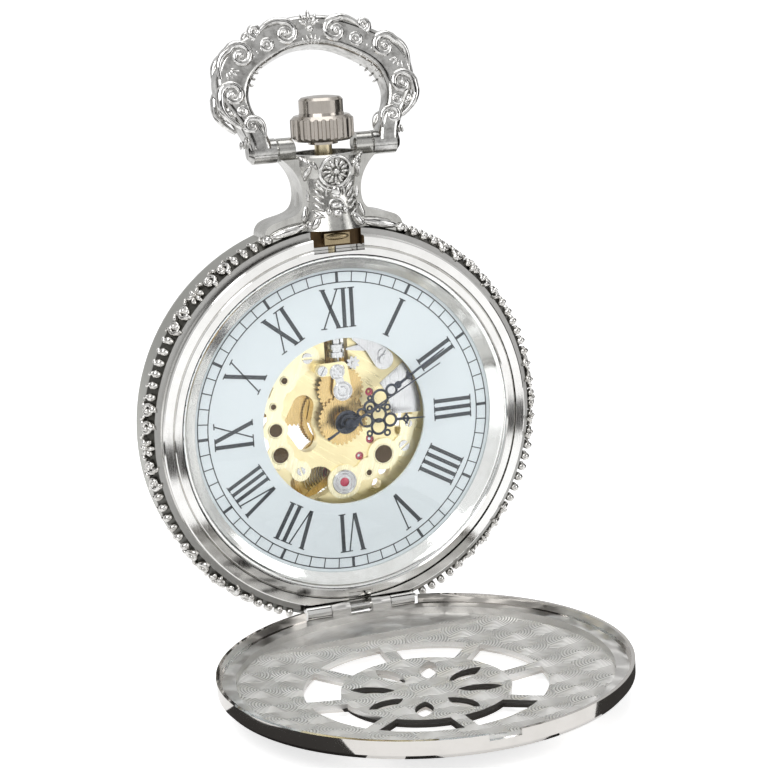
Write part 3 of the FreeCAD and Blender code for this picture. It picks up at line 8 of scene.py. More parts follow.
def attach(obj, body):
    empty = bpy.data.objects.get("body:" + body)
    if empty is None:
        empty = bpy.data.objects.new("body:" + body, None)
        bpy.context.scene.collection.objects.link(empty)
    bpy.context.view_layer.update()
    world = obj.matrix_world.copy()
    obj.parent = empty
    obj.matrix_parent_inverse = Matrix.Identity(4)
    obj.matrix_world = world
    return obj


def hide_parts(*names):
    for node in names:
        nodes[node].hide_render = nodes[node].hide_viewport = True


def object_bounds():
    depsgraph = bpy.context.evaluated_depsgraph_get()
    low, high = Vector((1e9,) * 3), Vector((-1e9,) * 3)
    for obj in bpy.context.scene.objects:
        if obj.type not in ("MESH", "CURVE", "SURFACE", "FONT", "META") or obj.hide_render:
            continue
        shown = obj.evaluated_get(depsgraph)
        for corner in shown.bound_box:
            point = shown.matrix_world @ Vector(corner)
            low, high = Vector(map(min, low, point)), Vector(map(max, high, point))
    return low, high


# A hunter-case pocket watch standing on its open lid. The case, movement and joints come from the
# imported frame; this file gives them their finishes and adds the chased ornament, the dial's print
# and the pierced hands. Sizes are in mm, face-on to the dial, until a piece is stood up.

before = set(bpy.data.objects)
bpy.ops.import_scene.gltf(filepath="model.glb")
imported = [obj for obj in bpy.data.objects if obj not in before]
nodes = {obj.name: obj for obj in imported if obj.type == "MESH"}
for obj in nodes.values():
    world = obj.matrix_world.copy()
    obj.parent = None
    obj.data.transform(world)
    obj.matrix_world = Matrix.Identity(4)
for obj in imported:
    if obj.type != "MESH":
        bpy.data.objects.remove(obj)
cad_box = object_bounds()
scene = bpy.context.scene
scene.view_settings.view_transform = "Standard"
MM = 0.001
UPRIGHT = Matrix.Scale(MM, 4) @ Matrix.Rotation(math.radians(90), 4, "X")


# The room: a pale floor under a pale surround, two soft boxes and an overhead one. Polished plating
# needs something dark to mirror, so dark cards and floor strips stand where only mirrors see them.
def put(tree, kind, settings=None, **sockets):
    """A shader node; each socket takes a number, a colour or another node's output."""
    made = tree.nodes.new("ShaderNode" + kind)
    for key, value in (settings or {}).items():
        setattr(made, key, value)
    for key, value in sockets.items():
        place = int(key[1:]) if key[1:].isdigit() else key.replace("_", " ")
        socket = made.inputs[place]
        if isinstance(value, bpy.types.NodeSocket):
            tree.links.new(value, socket)
        else:
            socket.default_value = value
    return made


def new_material(name):
    """A material to build on: itself, its nodes, its shader, and the place on the piece."""
    made = bpy.data.materials.new(name)
    made.use_nodes = True
    tree = made.node_tree
    return made, tree, tree.nodes["Principled BSDF"], put(tree, "TexCoord").outputs["Object"]


def seen_directly(tree, in_mirrors):
    """1 for rays from the camera and through glass, a share in mirrors, 0 for rays that only light."""
    path = put(tree, "LightPath")
    mirrored = put(tree, "Math", {"operation": "MULTIPLY"}, s0=path.outputs["Is Glossy Ray"],
                   s1=in_mirrors)
    both = put(tree, "Math", {"operation": "MAXIMUM"}, s0=path.outputs["Is Camera Ray"],
               s1=mirrored.outputs[0])
    return put(tree, "Math", {"operation": "MAXIMUM"}, s0=both.outputs[0],
               s1=path.outputs["Is Transmission Ray"]).outputs[0]


def light_the_room():
    world = bpy.data.worlds.new("pale_room")
    scene.world = world
    world.use_nodes = True
    tree = world.node_tree
    back = tree.nodes["Background"]
    strength = put(tree, "MapRange", None, Value=seen_directly(tree, 0.45),
                   To_Min=0.42, To_Max=1.0)
    tree.links.new(strength.outputs[0], back.inputs["Strength"])
    back.inputs["Color"].default_value = (1, 1, 1, 1)
    for name, place, side, power in (("key_box", (-0.16, -0.20, 0.26), 0.22, 0.50),
                                     ("fill_box", (0.26, -0.22, 0.12), 0.20, 0.20),
                                     ("top_box", (0.03, 0.05, 0.34), 0.26, 0.32)):
        lamp = bpy.data.lights.new(name, "AREA")
        lamp.energy = power
        lamp.size = side
        stand = bpy.data.objects.new(name, lamp)
        stand.location = place
        stand.rotation_euler = (Vector((0, 0, 0)) - stand.location).to_track_quat("-Z", "Y").to_euler()
        scene.collection.objects.link(stand)


def paper(name, colour, glow):
    """Backdrop paper: it glows a little for the camera, so that it reads white and keeps shadows."""
    made, tree, shader, place = new_material(name)
    fibres = put(tree, "TexNoise", None, Vector=place, Scale=900.0, Detail=2.0).outputs["Fac"]
    tint = put(tree, "Mix", {"data_type": "RGBA"}, s0=fibres, s6=colour,
               s7=[channel * 0.985 for channel in colour[:3]] + [1]).outputs[2]
    tree.links.new(tint, shader.inputs["Base Color"])
    shader.inputs["Roughness"].default_value = 0.9
    shader.inputs["Emission Color"].default_value = (1, 1, 1, 1)
    strength = put(tree, "Math", {"operation": "MULTIPLY"}, s0=seen_directly(tree, 0.62), s1=glow)
    tree.links.new(strength.outputs[0], shader.inputs["Emission Strength"])
    return made


def flat_sheet(name, matrix, width, length, material):
    mesh = bmesh.new()
    bmesh.ops.create_grid(mesh, x_segments=1, y_segments=1, size=0.5)
    bmesh.ops.scale(mesh, vec=(width, length, 1), verts=mesh.verts)
    bmesh.ops.transform(mesh, matrix=matrix, verts=mesh.verts)
    data = bpy.data.meshes.new(name)
    mesh.to_mesh(data)
    mesh.free()
    made = bpy.data.objects.new(name, data)
    data.materials.append(material)
    scene.collection.objects.link(made)
    return made


def hide_from_camera(made):
    """A card is met only by mirrors."""
    made.visible_camera = False
    made.visible_diffuse = False
    made.visible_shadow = False
    made.visible_transmission = False


def build_the_room():
    low = cad_box[0][2]
    flat_sheet("floor", Matrix.Translation((0, 0, low - 0.0002)), 40.0, 40.0,
               paper("floor_paper", (0.86, 0.86, 0.86, 1), 0.72))
    card = bpy.data.materials.new("dark_card")
    card.use_nodes = True
    shader = card.node_tree.nodes["Principled BSDF"]
    shader.inputs["Base Color"].default_value = (0.03, 0.027, 0.025, 1)
    shader.inputs["Roughness"].default_value = 0.9
    for name, place, width, length in (("right_card", (0.16, 0.06, 0.0), 0.20, 0.10),
                                       ("far_card", (0.32, -0.10, 0.10), 0.16, 0.34),
                                       ("left_card", (-0.30, 0.02, 0.12), 0.12, 0.40),
                                       ("camera_card", (-0.10, -0.55, 0.22), 0.50, 0.16),
                                       ("high_card", (0.22, -0.30, 0.40), 0.12, 0.30)):
        facing = (Vector((0, 0, 0)) - Vector(place)).to_track_quat("Z", "Y").to_matrix().to_4x4()
        made = flat_sheet(name, Matrix.Translation(place) @ facing, width, length, card)
        hide_from_camera(made)
    # The three lid strips are painted shadow: dark floor under the lid's front edge, which that edge
    # mirrors in place of the shaded floor below the lid.
    for name, x, y, width, length in (("front_strip", 0.0, -0.105, 0.34, 0.022),
                                      ("right_strip", 0.13, -0.06, 0.13, 0.06),
                                      ("left_strip", -0.13, 0.00, 0.05, 0.20),
                                      ("lid_shadow_strip_left", -0.021, -0.041, 0.016, 0.026),
                                      ("lid_shadow_strip_middle", -0.001, -0.041, 0.017, 0.026),
                                      ("lid_shadow_strip_right", 0.020, -0.041, 0.012, 0.026)):
        hide_from_camera(flat_sheet(name, Matrix.Translation((x, y, low + 0.0004)), width, length,
                                    card))


def set_the_camera():
    data = bpy.data.cameras.new("camera")
    data.lens = 92.4
    data.sensor_width = 36
    data.clip_start = 0.01
    stand = bpy.data.objects.new("camera", data)
    eye = Vector((-0.06663, -0.22182, 0.05231))
    forward = Vector((0.3132486, 0.92570408, -0.21200772))
    up = Vector((0.12003262, 0.18285942, 0.9757841))
    side = forward.cross(up)
    turn = Matrix((side, up, -forward)).transposed().to_4x4()
    stand.matrix_world = Matrix.Translation(eye) @ turn
    scene.collection.objects.link(stand)
    scene.camera = stand


light_the_room()
build_the_room()
set_the_camera()


# Nickel and silver plating. Polished plating is a clean mirror with hair scratches; satin plating
# is drawn over with a fine brush. Both darken a little where polish and skin oil stay behind.
def skin_group():
    """Marks that every metal here carries: a slow stain, drawn-out brush lines and their height."""
    group = bpy.data.node_groups.new("metal_skin", "ShaderNodeTree")
    face = group.interface
    face.new_socket("Place", in_out="INPUT", socket_type="NodeSocketVector")
    face.new_socket("Line Scale", in_out="INPUT", socket_type="NodeSocketFloat")
    face.new_socket("Stain Scale", in_out="INPUT", socket_type="NodeSocketFloat")
    face.new_socket("Lines", in_out="OUTPUT", socket_type="NodeSocketFloat")
    face.new_socket("Stain", in_out="OUTPUT", socket_type="NodeSocketFloat")
    given = group.nodes.new("NodeGroupInput")
    result = group.nodes.new("NodeGroupOutput")
    long_way = put(group, "Mapping", None, Vector=given.outputs["Place"], Scale=(1, 1, 0.04))
    lines = put(group, "TexNoise", None, Vector=long_way.outputs[0],
                Scale=given.outputs["Line Scale"], Detail=3.0, Roughness=0.6)
    stain = put(group, "TexNoise", None, Vector=given.outputs["Place"],
                Scale=given.outputs["Stain Scale"], Detail=4.0, Roughness=0.65)
    group.links.new(lines.outputs["Fac"], result.inputs["Lines"])
    group.links.new(stain.outputs["Fac"], result.inputs["Stain"])
    return group


METAL_SKIN = skin_group()


def metal(name, colour, tarnish, roughness, line_bump=0.02, line_scale=9000.0, stain_scale=260.0,
          stain_share=0.35, turn=(0, 0, 0)):
    """A plated or plain metal: colour drifts towards its tarnish, brush lines break its gloss."""
    made, tree, shader, place = new_material(name)
    turned = put(tree, "Mapping", None, Vector=place, Rotation=[math.radians(a) for a in turn])
    skin = put(tree, "Group", {"node_tree": METAL_SKIN}, Place=turned.outputs[0],
               Line_Scale=line_scale, Stain_Scale=stain_scale)
    stain = put(tree, "MapRange", None, Value=skin.outputs["Stain"], From_Min=0.42, From_Max=0.75,
                To_Min=0.0, To_Max=stain_share)
    tint = put(tree, "Mix", {"data_type": "RGBA"}, s0=stain.outputs[0], s6=(*colour, 1),
               s7=(*tarnish, 1))
    gloss = put(tree, "MapRange", None, Value=skin.outputs["Lines"], From_Min=0.3, From_Max=0.7,
                To_Min=roughness * 0.7, To_Max=roughness * 1.4)
    bump = put(tree, "Bump", None, Strength=line_bump, Distance=0.0001,
               Height=skin.outputs["Lines"])
    shader.inputs["Metallic"].default_value = 1.0
    tree.links.new(tint.outputs[2], shader.inputs["Base Color"])
    tree.links.new(gloss.outputs[0], shader.inputs["Roughness"])
    tree.links.new(bump.outputs[0], shader.inputs["Normal"])
    return made


def axis_values(tree, *shift):
    """The place on the piece in mm, as X, Y and Z, after a shift."""
    place = put(tree, "TexCoord").outputs["Object"]
    in_mm = put(tree, "VectorMath", {"operation": "SCALE"}, s0=place, Scale=1000.0)
    moved = put(tree, "VectorMath", {"operation": "ADD"}, s0=in_mm.outputs[0], s1=shift)
    return moved.outputs[0], put(tree, "SeparateXYZ", None, Vector=moved.outputs[0]).outputs


def sums(tree, operation, first, second=0.0, third=0.0):
    """One step of arithmetic on numbers or other nodes' outputs."""
    made = put(tree, "Math", {"operation": operation}, s0=first, s1=second, s2=third)
    return made.outputs[0]


def across(tree, one, other):
    """The distance from an axis, from the two places across it."""
    square = sums(tree, "ADD", sums(tree, "MULTIPLY", one, one), sums(tree, "MULTIPLY", other, other))
    return sums(tree, "SQRT", square)


def over(tree, value, level, soft=0.08):
    """0 under a level and 1 over it, with a short blend."""
    made = put(tree, "MapRange", None, Value=value, From_Min=level - soft, From_Max=level + soft)
    return made.outputs[0]


def blend(tree, share, first, second):
    """One finish over another: a colour and a roughness for each, by a share."""
    colours = put(tree, "Mix", {"data_type": "RGBA"}, s0=share, s6=first[0], s7=second[0])
    gloss = put(tree, "Mix", {"data_type": "FLOAT"}, s0=share, s2=first[1], s3=second[1])
    return colours.outputs[2], gloss.outputs[0]


# Where the case's finish changes, as distances from its axis and heights over its back.
SIDE_RADIUS = 22.9
GROUND_RADIUS = 21.9
BACK_EDGE = 2.6
BAND_EDGE = 8.95
BAND_TOP = 10.86


def case_plating(name):
    """Polished flange, satin side and back, and a dark, never polished ground under the relief."""
    made = metal(name, (0.82, 0.815, 0.80), (0.56, 0.55, 0.52), 0.07)
    tree = made.node_tree
    shader = tree.nodes["Principled BSDF"]
    polish = (shader.inputs["Base Color"].links[0].from_socket,
              shader.inputs["Roughness"].links[0].from_socket)
    place, (x, y, z) = axis_values(tree, 0.0, 0.0, 0.0)
    radius = across(tree, x, z)
    height = sums(tree, "MULTIPLY", y, -1.0)
    fog = put(tree, "TexNoise", None, Vector=place, Scale=2.5, Detail=4.0).outputs["Fac"]
    satin_tint = put(tree, "Mix", {"data_type": "RGBA"}, s0=fog, s6=(0.34, 0.34, 0.31, 1),
                     s7=(0.43, 0.43, 0.40, 1)).outputs[2]
    ground_tint = put(tree, "Mix", {"data_type": "RGBA"}, s0=fog, s6=(0.05, 0.05, 0.045, 1),
                      s7=(0.16, 0.155, 0.14, 1)).outputs[2]
    under = sums(tree, "SUBTRACT", 1.0, over(tree, height, BAND_EDGE))
    outside = over(tree, radius, SIDE_RADIUS)
    on_side = sums(tree, "MULTIPLY", under, outside)
    on_back = sums(tree, "SUBTRACT", 1.0, over(tree, height, BACK_EDGE))
    satin = sums(tree, "MAXIMUM", on_side, on_back)
    colour, gloss = blend(tree, satin, polish, (satin_tint, 0.36))
    above = sums(tree, "MULTIPLY", over(tree, height, BAND_EDGE),
                 sums(tree, "SUBTRACT", 1.0, over(tree, height, BAND_TOP)))
    ground = sums(tree, "MULTIPLY", above, over(tree, radius, GROUND_RADIUS))
    colour, gloss = blend(tree, ground, (colour, gloss), (ground_tint, 0.45))
    tree.links.new(colour, shader.inputs["Base Color"])
    tree.links.new(gloss, shader.inputs["Roughness"])
    return made


# The open lid: its axis stands LID_CENTRE in front of the case's back, and LID_TURN_HEIGHT turns a
# level on it into a height on the closed lid. Its inside is a shallow bowl with a rim and a shelf.
LID_CENTRE = 33.46
LID_TURN_HEIGHT = 10.4
LID_BOWL_HEIGHT = 14.92
LID_BOWL_CURVE = 1.85 / 22.35 ** 2
LID_RIM = 21.75
LID_SHELF = 15.2
SPOTTED_RADIUS = 20.2
SPOT_PITCH = 4.4
SPOT_RING = 0.34
SPOT_TILT = 0.60


def lid_plating(name):
    """Outside polished; inside spotted all over with small overlapping turned circles, with a
    brushed rim and a brushed shelf at the hinge."""
    made = metal(name, (0.62, 0.60, 0.575), (0.46, 0.44, 0.41), 0.06)
    tree = made.node_tree
    shader = tree.nodes["Principled BSDF"]
    polish = (shader.inputs["Base Color"].links[0].from_socket,
              shader.inputs["Roughness"].links[0].from_socket)
    place, (x, y, z) = axis_values(tree, 0.0, LID_CENTRE, 0.0)
    radius = across(tree, x, y)
    height = sums(tree, "SUBTRACT", -LID_TURN_HEIGHT, z)
    bowl = sums(tree, "MULTIPLY_ADD", sums(tree, "MULTIPLY", radius, radius), -LID_BOWL_CURVE,
                LID_BOWL_HEIGHT)
    inside = sums(tree, "SUBTRACT", 1.0, over(tree, sums(tree, "SUBTRACT", height, bowl), 0.0))
    inside = sums(tree, "MULTIPLY", inside, sums(tree, "SUBTRACT", 1.0, over(tree, radius, LID_RIM)))
    off_shelf = sums(tree, "SUBTRACT", 1.0, over(tree, y, LID_SHELF))
    spotted = sums(tree, "SUBTRACT", 1.0, over(tree, radius, SPOTTED_RADIUS))
    spotted = sums(tree, "MULTIPLY", spotted, off_shelf)
    spotted = sums(tree, "MULTIPLY", spotted, inside)
    face = put(tree, "NewGeometry").outputs["Normal"]
    on_lid = put(tree, "VectorTransform", {"vector_type": "NORMAL", "convert_from": "WORLD",
                                           "convert_to": "OBJECT"}, Vector=face).outputs[0]
    level = sums(tree, "ABSOLUTE", put(tree, "SeparateXYZ", None, Vector=on_lid).outputs[2])
    spotted = sums(tree, "MULTIPLY", spotted, over(tree, level, 0.6))

    flat = put(tree, "CombineXYZ", None, X=x, Y=y, Z=0.0).outputs[0]
    spots = put(tree, "TexVoronoi", {"voronoi_dimensions": "2D"}, Vector=flat, Scale=1 / SPOT_PITCH,
                Randomness=0.25)
    arm = put(tree, "VectorMath", {"operation": "SUBTRACT"}, s0=flat,
              s1=spots.outputs["Position"]).outputs[0]
    reach = put(tree, "VectorMath", {"operation": "LENGTH"}, s0=arm).outputs["Value"]
    wave = sums(tree, "COSINE", sums(tree, "MULTIPLY", reach, 2 * math.pi / SPOT_RING))
    outward = put(tree, "VectorMath", {"operation": "NORMALIZE"}, s0=arm).outputs[0]
    tilt = put(tree, "VectorMath", {"operation": "SCALE"}, s0=outward,
               Scale=sums(tree, "MULTIPLY", sums(tree, "MULTIPLY", wave, SPOT_TILT), spotted)).outputs[0]
    in_world = put(tree, "VectorTransform", {"vector_type": "VECTOR", "convert_from": "OBJECT",
                                             "convert_to": "WORLD"}, Vector=tilt).outputs[0]
    bent = put(tree, "VectorMath", {"operation": "ADD"}, s0=face, s1=in_world).outputs[0]
    normal = put(tree, "VectorMath", {"operation": "NORMALIZE"}, s0=bent).outputs[0]

    grain_way = put(tree, "VectorMath", {"operation": "CROSS_PRODUCT"}, s0=outward,
                    s1=(0.0, 0.0, 1.0)).outputs[0]
    grain_way = put(tree, "VectorTransform", {"vector_type": "VECTOR", "convert_from": "OBJECT",
                                              "convert_to": "WORLD"}, Vector=grain_way).outputs[0]
    tree.links.new(grain_way, shader.inputs["Tangent"])
    shader.inputs["Anisotropic"].default_value = 0.85
    # The rings bend the normal, and their bands are also painted into the colour: painted sheen and
    # painted shade across each turned groove.
    groove_sheen_and_shade = put(tree, "MapRange", None, Value=wave, From_Min=-1.0, From_Max=1.0, To_Min=0.0,
                 To_Max=1.0).outputs[0]
    spot_painted_shading = put(tree, "Mix", {"data_type": "RGBA"}, s0=groove_sheen_and_shade, s6=(0.56, 0.55, 0.53, 1),
                    s7=(0.92, 0.91, 0.89, 1)).outputs[2]
    lines = put(tree, "Mapping", None, Vector=place, Scale=(0.3, 3.0, 3.0)).outputs[0]
    brush = put(tree, "TexNoise", None, Vector=lines, Scale=4.0, Detail=4.0).outputs["Fac"]
    brush_tint = put(tree, "Mix", {"data_type": "RGBA"}, s0=brush, s6=(0.58, 0.57, 0.55, 1),
                     s7=(0.84, 0.83, 0.81, 1)).outputs[2]
    colour, gloss = blend(tree, inside, polish, (brush_tint, 0.33))
    colour, gloss = blend(tree, spotted, (colour, gloss), (spot_painted_shading, 0.30))
    tree.links.new(colour, shader.inputs["Base Color"])
    tree.links.new(gloss, shader.inputs["Roughness"])
    tree.links.new(normal, shader.inputs["Normal"])
    return made


def finish_nodes(material, slot_name, *names):
    for name in names:
        node = nodes[name]
        node.data.materials.clear()
        node.data.materials.append(material)


POLISH = metal("polished_plating", (0.80, 0.795, 0.78), (0.52, 0.51, 0.48), 0.07)
SATIN = metal("satin_plating", (0.46, 0.46, 0.43), (0.30, 0.295, 0.27), 0.34, line_bump=0.12)
finish_nodes(POLISH, "case_silver", "bezel", "bow_pins", "hinge_pin")
finish_nodes(case_plating("case_plating"), "case_silver", "case_middle")
finish_nodes(lid_plating("lid_plating"), "case_silver", "front_lid")
finish_nodes(SATIN, "case_silver", "back_cover")

NICKEL = metal("warm_nickel", (0.52, 0.48, 0.435), (0.26, 0.235, 0.205), 0.17, line_bump=0.05)
finish_nodes(NICKEL, "crown_nickel", "crown", "push_collar")

GILT = metal("brushed_gilt", (0.93, 0.82, 0.50), (0.72, 0.56, 0.28), 0.34, line_bump=0.15,
             line_scale=5000.0, turn=(0, 55, 0))
finish_nodes(GILT, "plate_gold", "main_plate", "movement_ring", "barrel_bridge", "train_bridge",
             "pallet_bridge", "balance_cock", "centre_bush", "minute_bridge")
WHEEL_BRASS = metal("wheel_brass", (0.66, 0.48, 0.22), (0.40, 0.26, 0.11), 0.26, line_bump=0.08)
finish_nodes(WHEEL_BRASS, "plate_gold", "third_wheel", "centre_wheel", "fourth_wheel",
             "balance_wheel", "hour_wheel", "minute_wheel", "mainspring_barrel")
STEEL = metal("ground_steel", (0.62, 0.62, 0.63), (0.36, 0.36, 0.38), 0.22, line_bump=0.06)
finish_nodes(STEEL, "steel", "lock_spring", "winding_stem", "movement_screws", "ring_screws",
             "escape_wheel", "pallet_fork", "barrel_arbor", "mainspring", "ratchet_wheel",
             "crown_wheel", "click", "click_spring", "winding_pinion", "sliding_clutch", "yoke",
             "setting_lever", "cannon_pinion", "setting_wheel", "dial_side_posts",
             "setting_cover", "hairspring")
BRASS = metal("cream_brass", (0.80, 0.70, 0.48), (0.50, 0.40, 0.24), 0.28, line_bump=0.05)
finish_nodes(BRASS, "spring_brass", "fly_spring", "stem_sleeve")


# The watch crystals: domed front and flat back, ground and polished mineral glass.
def glass(name):
    made, tree, shader, place = new_material(name)
    haze = put(tree, "TexNoise", None, Vector=place, Scale=180.0, Detail=3.0)
    gloss = put(tree, "MapRange", None, Value=haze.outputs["Fac"], To_Min=0.0, To_Max=0.03)
    tree.links.new(gloss.outputs[0], shader.inputs["Roughness"])
    shader.inputs["Base Color"].default_value = (0.98, 0.99, 0.99, 1)
    shader.inputs["Transmission Weight"].default_value = 1.0
    shader.inputs["IOR"].default_value = 1.3
    clear = put(tree, "BsdfTransparent")
    lets_light_in = put(tree, "LightPath").outputs["Is Shadow Ray"]
    both = put(tree, "MixShader", None, s0=lets_light_in, s1=shader.outputs[0], s2=clear.outputs[0])
    tree.links.new(both.outputs[0], tree.nodes["Material Output"].inputs["Surface"])
    return made


GLASS = glass("mineral_crystal")
finish_nodes(GLASS, "crystal_glass", "crystal", "back_crystal")


# The jewels: synthetic ruby rings pressed into the plates.
def ruby(name):
    made, tree, shader, place = new_material(name)
    cloud = put(tree, "TexNoise", None, Vector=place, Scale=1500.0, Detail=2.0)
    tint = put(tree, "Mix", {"data_type": "RGBA"}, s0=cloud.outputs["Fac"],
               s6=(0.30, 0.02, 0.05, 1), s7=(0.55, 0.05, 0.10, 1))
    tree.links.new(tint.outputs[2], shader.inputs["Base Color"])
    shader.inputs["Roughness"].default_value = 0.08
    shader.inputs["Coat Weight"].default_value = 0.5
    return made


RUBY = ruby("ruby")
finish_nodes(RUBY, "ruby", "train_jewels", "balance_jewels")


# The dial: a brass blank lacquered bluish white, with the chapter ring printed on it.
def lacquer(name):
    made, tree, shader, place = new_material(name)
    grain = put(tree, "TexNoise", None, Vector=place, Scale=2500.0, Detail=3.0)
    tint = put(tree, "Mix", {"data_type": "RGBA"}, s0=grain.outputs["Fac"],
               s6=(0.60, 0.65, 0.675, 1), s7=(0.64, 0.69, 0.715, 1))
    bump = put(tree, "Bump", None, Strength=0.05, Distance=0.00005, Height=grain.outputs["Fac"])
    tree.links.new(tint.outputs[2], shader.inputs["Base Color"])
    tree.links.new(bump.outputs[0], shader.inputs["Normal"])
    shader.inputs["Roughness"].default_value = 0.35
    return made


finish_nodes(lacquer("white_lacquer"), "dial_white", "dial")


# The print on the dial: a minute track and Roman numerals, with their feet to the centre, laid on
# in dark slate ink thick enough to feel.
DIAL_FACE = 10.0
INK_RISE = 0.025
TRACK_INNER = 16.3
TRACK_OUTER = 17.5
WIDEST_NUMERAL = 4.5


def new_piece(name, mesh, matrix, material, body):
    """Hang a finished bmesh on its body, with its place in its mesh."""
    bmesh.ops.transform(mesh, matrix=matrix, verts=mesh.verts)
    data = bpy.data.meshes.new(name)
    mesh.to_mesh(data)
    mesh.free()
    made = bpy.data.objects.new(name, data)
    scene.collection.objects.link(made)
    data.materials.append(material)
    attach(made, body)
    return made


def merge(mesh, drawn):
    """Add a finished bmesh to another one, and free it."""
    shape = bpy.data.meshes.new("drawn")
    drawn.to_mesh(shape)
    drawn.free()
    mesh.from_mesh(shape)
    bpy.data.meshes.remove(shape)


def smooth(made):
    for face in made.data.polygons:
        face.use_smooth = True


def plate(mesh, corners, low, rise):
    """A thin flat piece: its outline in order anticlockwise, and its thickness."""
    foot = mesh.faces.new([mesh.verts.new((x, y, low)) for x, y in corners])
    drawn = bmesh.ops.extrude_face_region(mesh, geom=[foot])
    top = [part for part in drawn["geom"] if isinstance(part, bmesh.types.BMVert)]
    bmesh.ops.translate(mesh, vec=(0, 0, rise), verts=top)


def bar(mesh, start, end, width, low, rise):
    """A straight stroke between two points."""
    along = (Vector(end) - Vector(start)).normalized() * width / 2
    side = Vector((-along.y, along.x))
    a, b = Vector(start), Vector(end)
    plate(mesh, [a - side, b - side, b + side, a + side], low, rise)


def clockwise(degrees):
    """Turn about the dial's centre by an angle that counts from 12 o'clock."""
    return Matrix.Rotation(-math.radians(degrees), 4, "Z")


def numeral(mesh, text, turn, foot=11.05, head=15.55):
    """A Roman numeral of thick and thin strokes with slab serifs."""
    widths = {"I": 0.95, "V": 2.15, "X": 2.25}
    thick, thin, serif = 0.46, 0.16, 0.13
    total = sum(widths[letter] for letter in text)
    squeeze = min(1.0, WIDEST_NUMERAL / total)
    left = -total * squeeze / 2
    drawn = bmesh.new()
    for letter in text:
        wide = widths[letter] * squeeze
        middle = left + wide / 2
        reach = wide / 2 - 0.24
        if letter == "I":
            bar(drawn, (middle, foot), (middle, head), thick * squeeze, 0, INK_RISE)
            ends = [(middle, foot), (middle, head)]
        elif letter == "V":
            bar(drawn, (middle - reach, head), (middle, foot), thick * squeeze, 0, INK_RISE)
            bar(drawn, (middle + reach, head), (middle + 0.1, foot), thin, 0, INK_RISE)
            ends = [(middle - reach, head), (middle + reach, head)]
        else:
            bar(drawn, (middle - reach, head), (middle + reach, foot), thick * squeeze, 0, INK_RISE)
            bar(drawn, (middle + reach, head), (middle - reach, foot), thin, 0, INK_RISE)
            ends = [(middle - reach, head), (middle + reach, head), (middle - reach, foot),
                    (middle + reach, foot)]
        for x, y in ends:
            half = 0.42 if letter == "I" else 0.36
            bar(drawn, (x - half * squeeze, y), (x + half * squeeze, y), serif, 0, INK_RISE)
        left += wide
    bmesh.ops.transform(drawn, matrix=clockwise(turn), verts=drawn.verts)
    merge(mesh, drawn)


def ring_plate(mesh, radius, width, low, rise, sides=180):
    """A thin flat ring, spun from its little rectangular section."""
    half = width / 2
    section = [mesh.verts.new((0, radius + out, low + up))
               for out, up in ((-half, 0), (half, 0), (half, rise), (-half, rise))]
    edges = [mesh.edges.new((section[place - 1], section[place])) for place in range(4)]
    bmesh.ops.spin(mesh, geom=section + edges, cent=(0, 0, 0), axis=(0, 0, 1),
                   angle=math.radians(360), steps=sides, use_merge=True)


def ink(name):
    made, tree, shader, place = new_material(name)
    grain = put(tree, "TexNoise", None, Vector=place, Scale=4000.0, Detail=2.0)
    tint = put(tree, "Mix", {"data_type": "RGBA"}, s0=grain.outputs["Fac"],
               s6=(0.025, 0.030, 0.036, 1), s7=(0.050, 0.056, 0.064, 1))
    gloss = put(tree, "MapRange", None, Value=grain.outputs["Fac"], To_Min=0.25, To_Max=0.5)
    tree.links.new(tint.outputs[2], shader.inputs["Base Color"])
    tree.links.new(gloss.outputs[0], shader.inputs["Roughness"])
    return made


def dial_print():
    mesh = bmesh.new()
    for radius, width in ((TRACK_INNER, 0.12), (TRACK_OUTER, 0.13)):
        ring_plate(mesh, radius, width, 0, INK_RISE)
    for minute in range(60):
        turn = clockwise(6 * minute)
        width = 0.34 if minute % 5 == 0 else 0.12
        inner = turn @ Vector((0, TRACK_INNER, 0))
        outer = turn @ Vector((0, TRACK_OUTER, 0))
        bar(mesh, inner.xy, outer.xy, width, 0, INK_RISE)
    numerals = ("XII", "I", "II", "III", "IIII", "V", "VI", "VII", "VIII", "IX", "X", "XI")
    for hour, text in enumerate(numerals):
        numeral(mesh, text, 30 * hour)
    bmesh.ops.recalc_face_normals(mesh, faces=mesh.faces)
    new_piece("dial_print", mesh, UPRIGHT @ Matrix.Translation((0, 0, DIAL_FACE)),
              ink("slate_ink"), "watch")


dial_print()


# The hands: blued steel, stamped and pierced with rings, with a barbed cross before the point.
# The hour hand points near 3 o'clock; the minute and seconds hands point near 2 o'clock.
def wires(mesh, strokes, round_steps=2, matrix=None):
    """Round wires through lists of (point, radius), with closed ends, added to a bmesh."""
    line = bpy.data.curves.new("wires", "CURVE")
    line.dimensions = "3D"
    line.bevel_depth = 1.0
    line.bevel_resolution = round_steps
    line.use_fill_caps = True
    for points, closed in strokes:
        spline = line.splines.new("POLY")
        spline.points.add(len(points) - 1)
        for place, (x, y, z, radius) in enumerate(points):
            spline.points[place].co = (x, y, z, 1)
            spline.points[place].radius = radius
        spline.use_cyclic_u = closed
    holder = bpy.data.objects.new("wires", line)
    shape = bpy.data.meshes.new_from_object(holder)
    if matrix is not None:
        shape.transform(matrix)
    mesh.from_mesh(shape)
    bpy.data.objects.remove(holder)
    bpy.data.curves.remove(line)
    bpy.data.meshes.remove(shape)


def round_stroke(x, y, radius, wire, z=0.0, steps=24):
    """A closed ring of wire."""
    points = []
    for step in range(steps):
        angle = 2 * math.pi * step / steps
        points.append((x + radius * math.cos(angle), y + radius * math.sin(angle), z, wire))
    return (points, True)


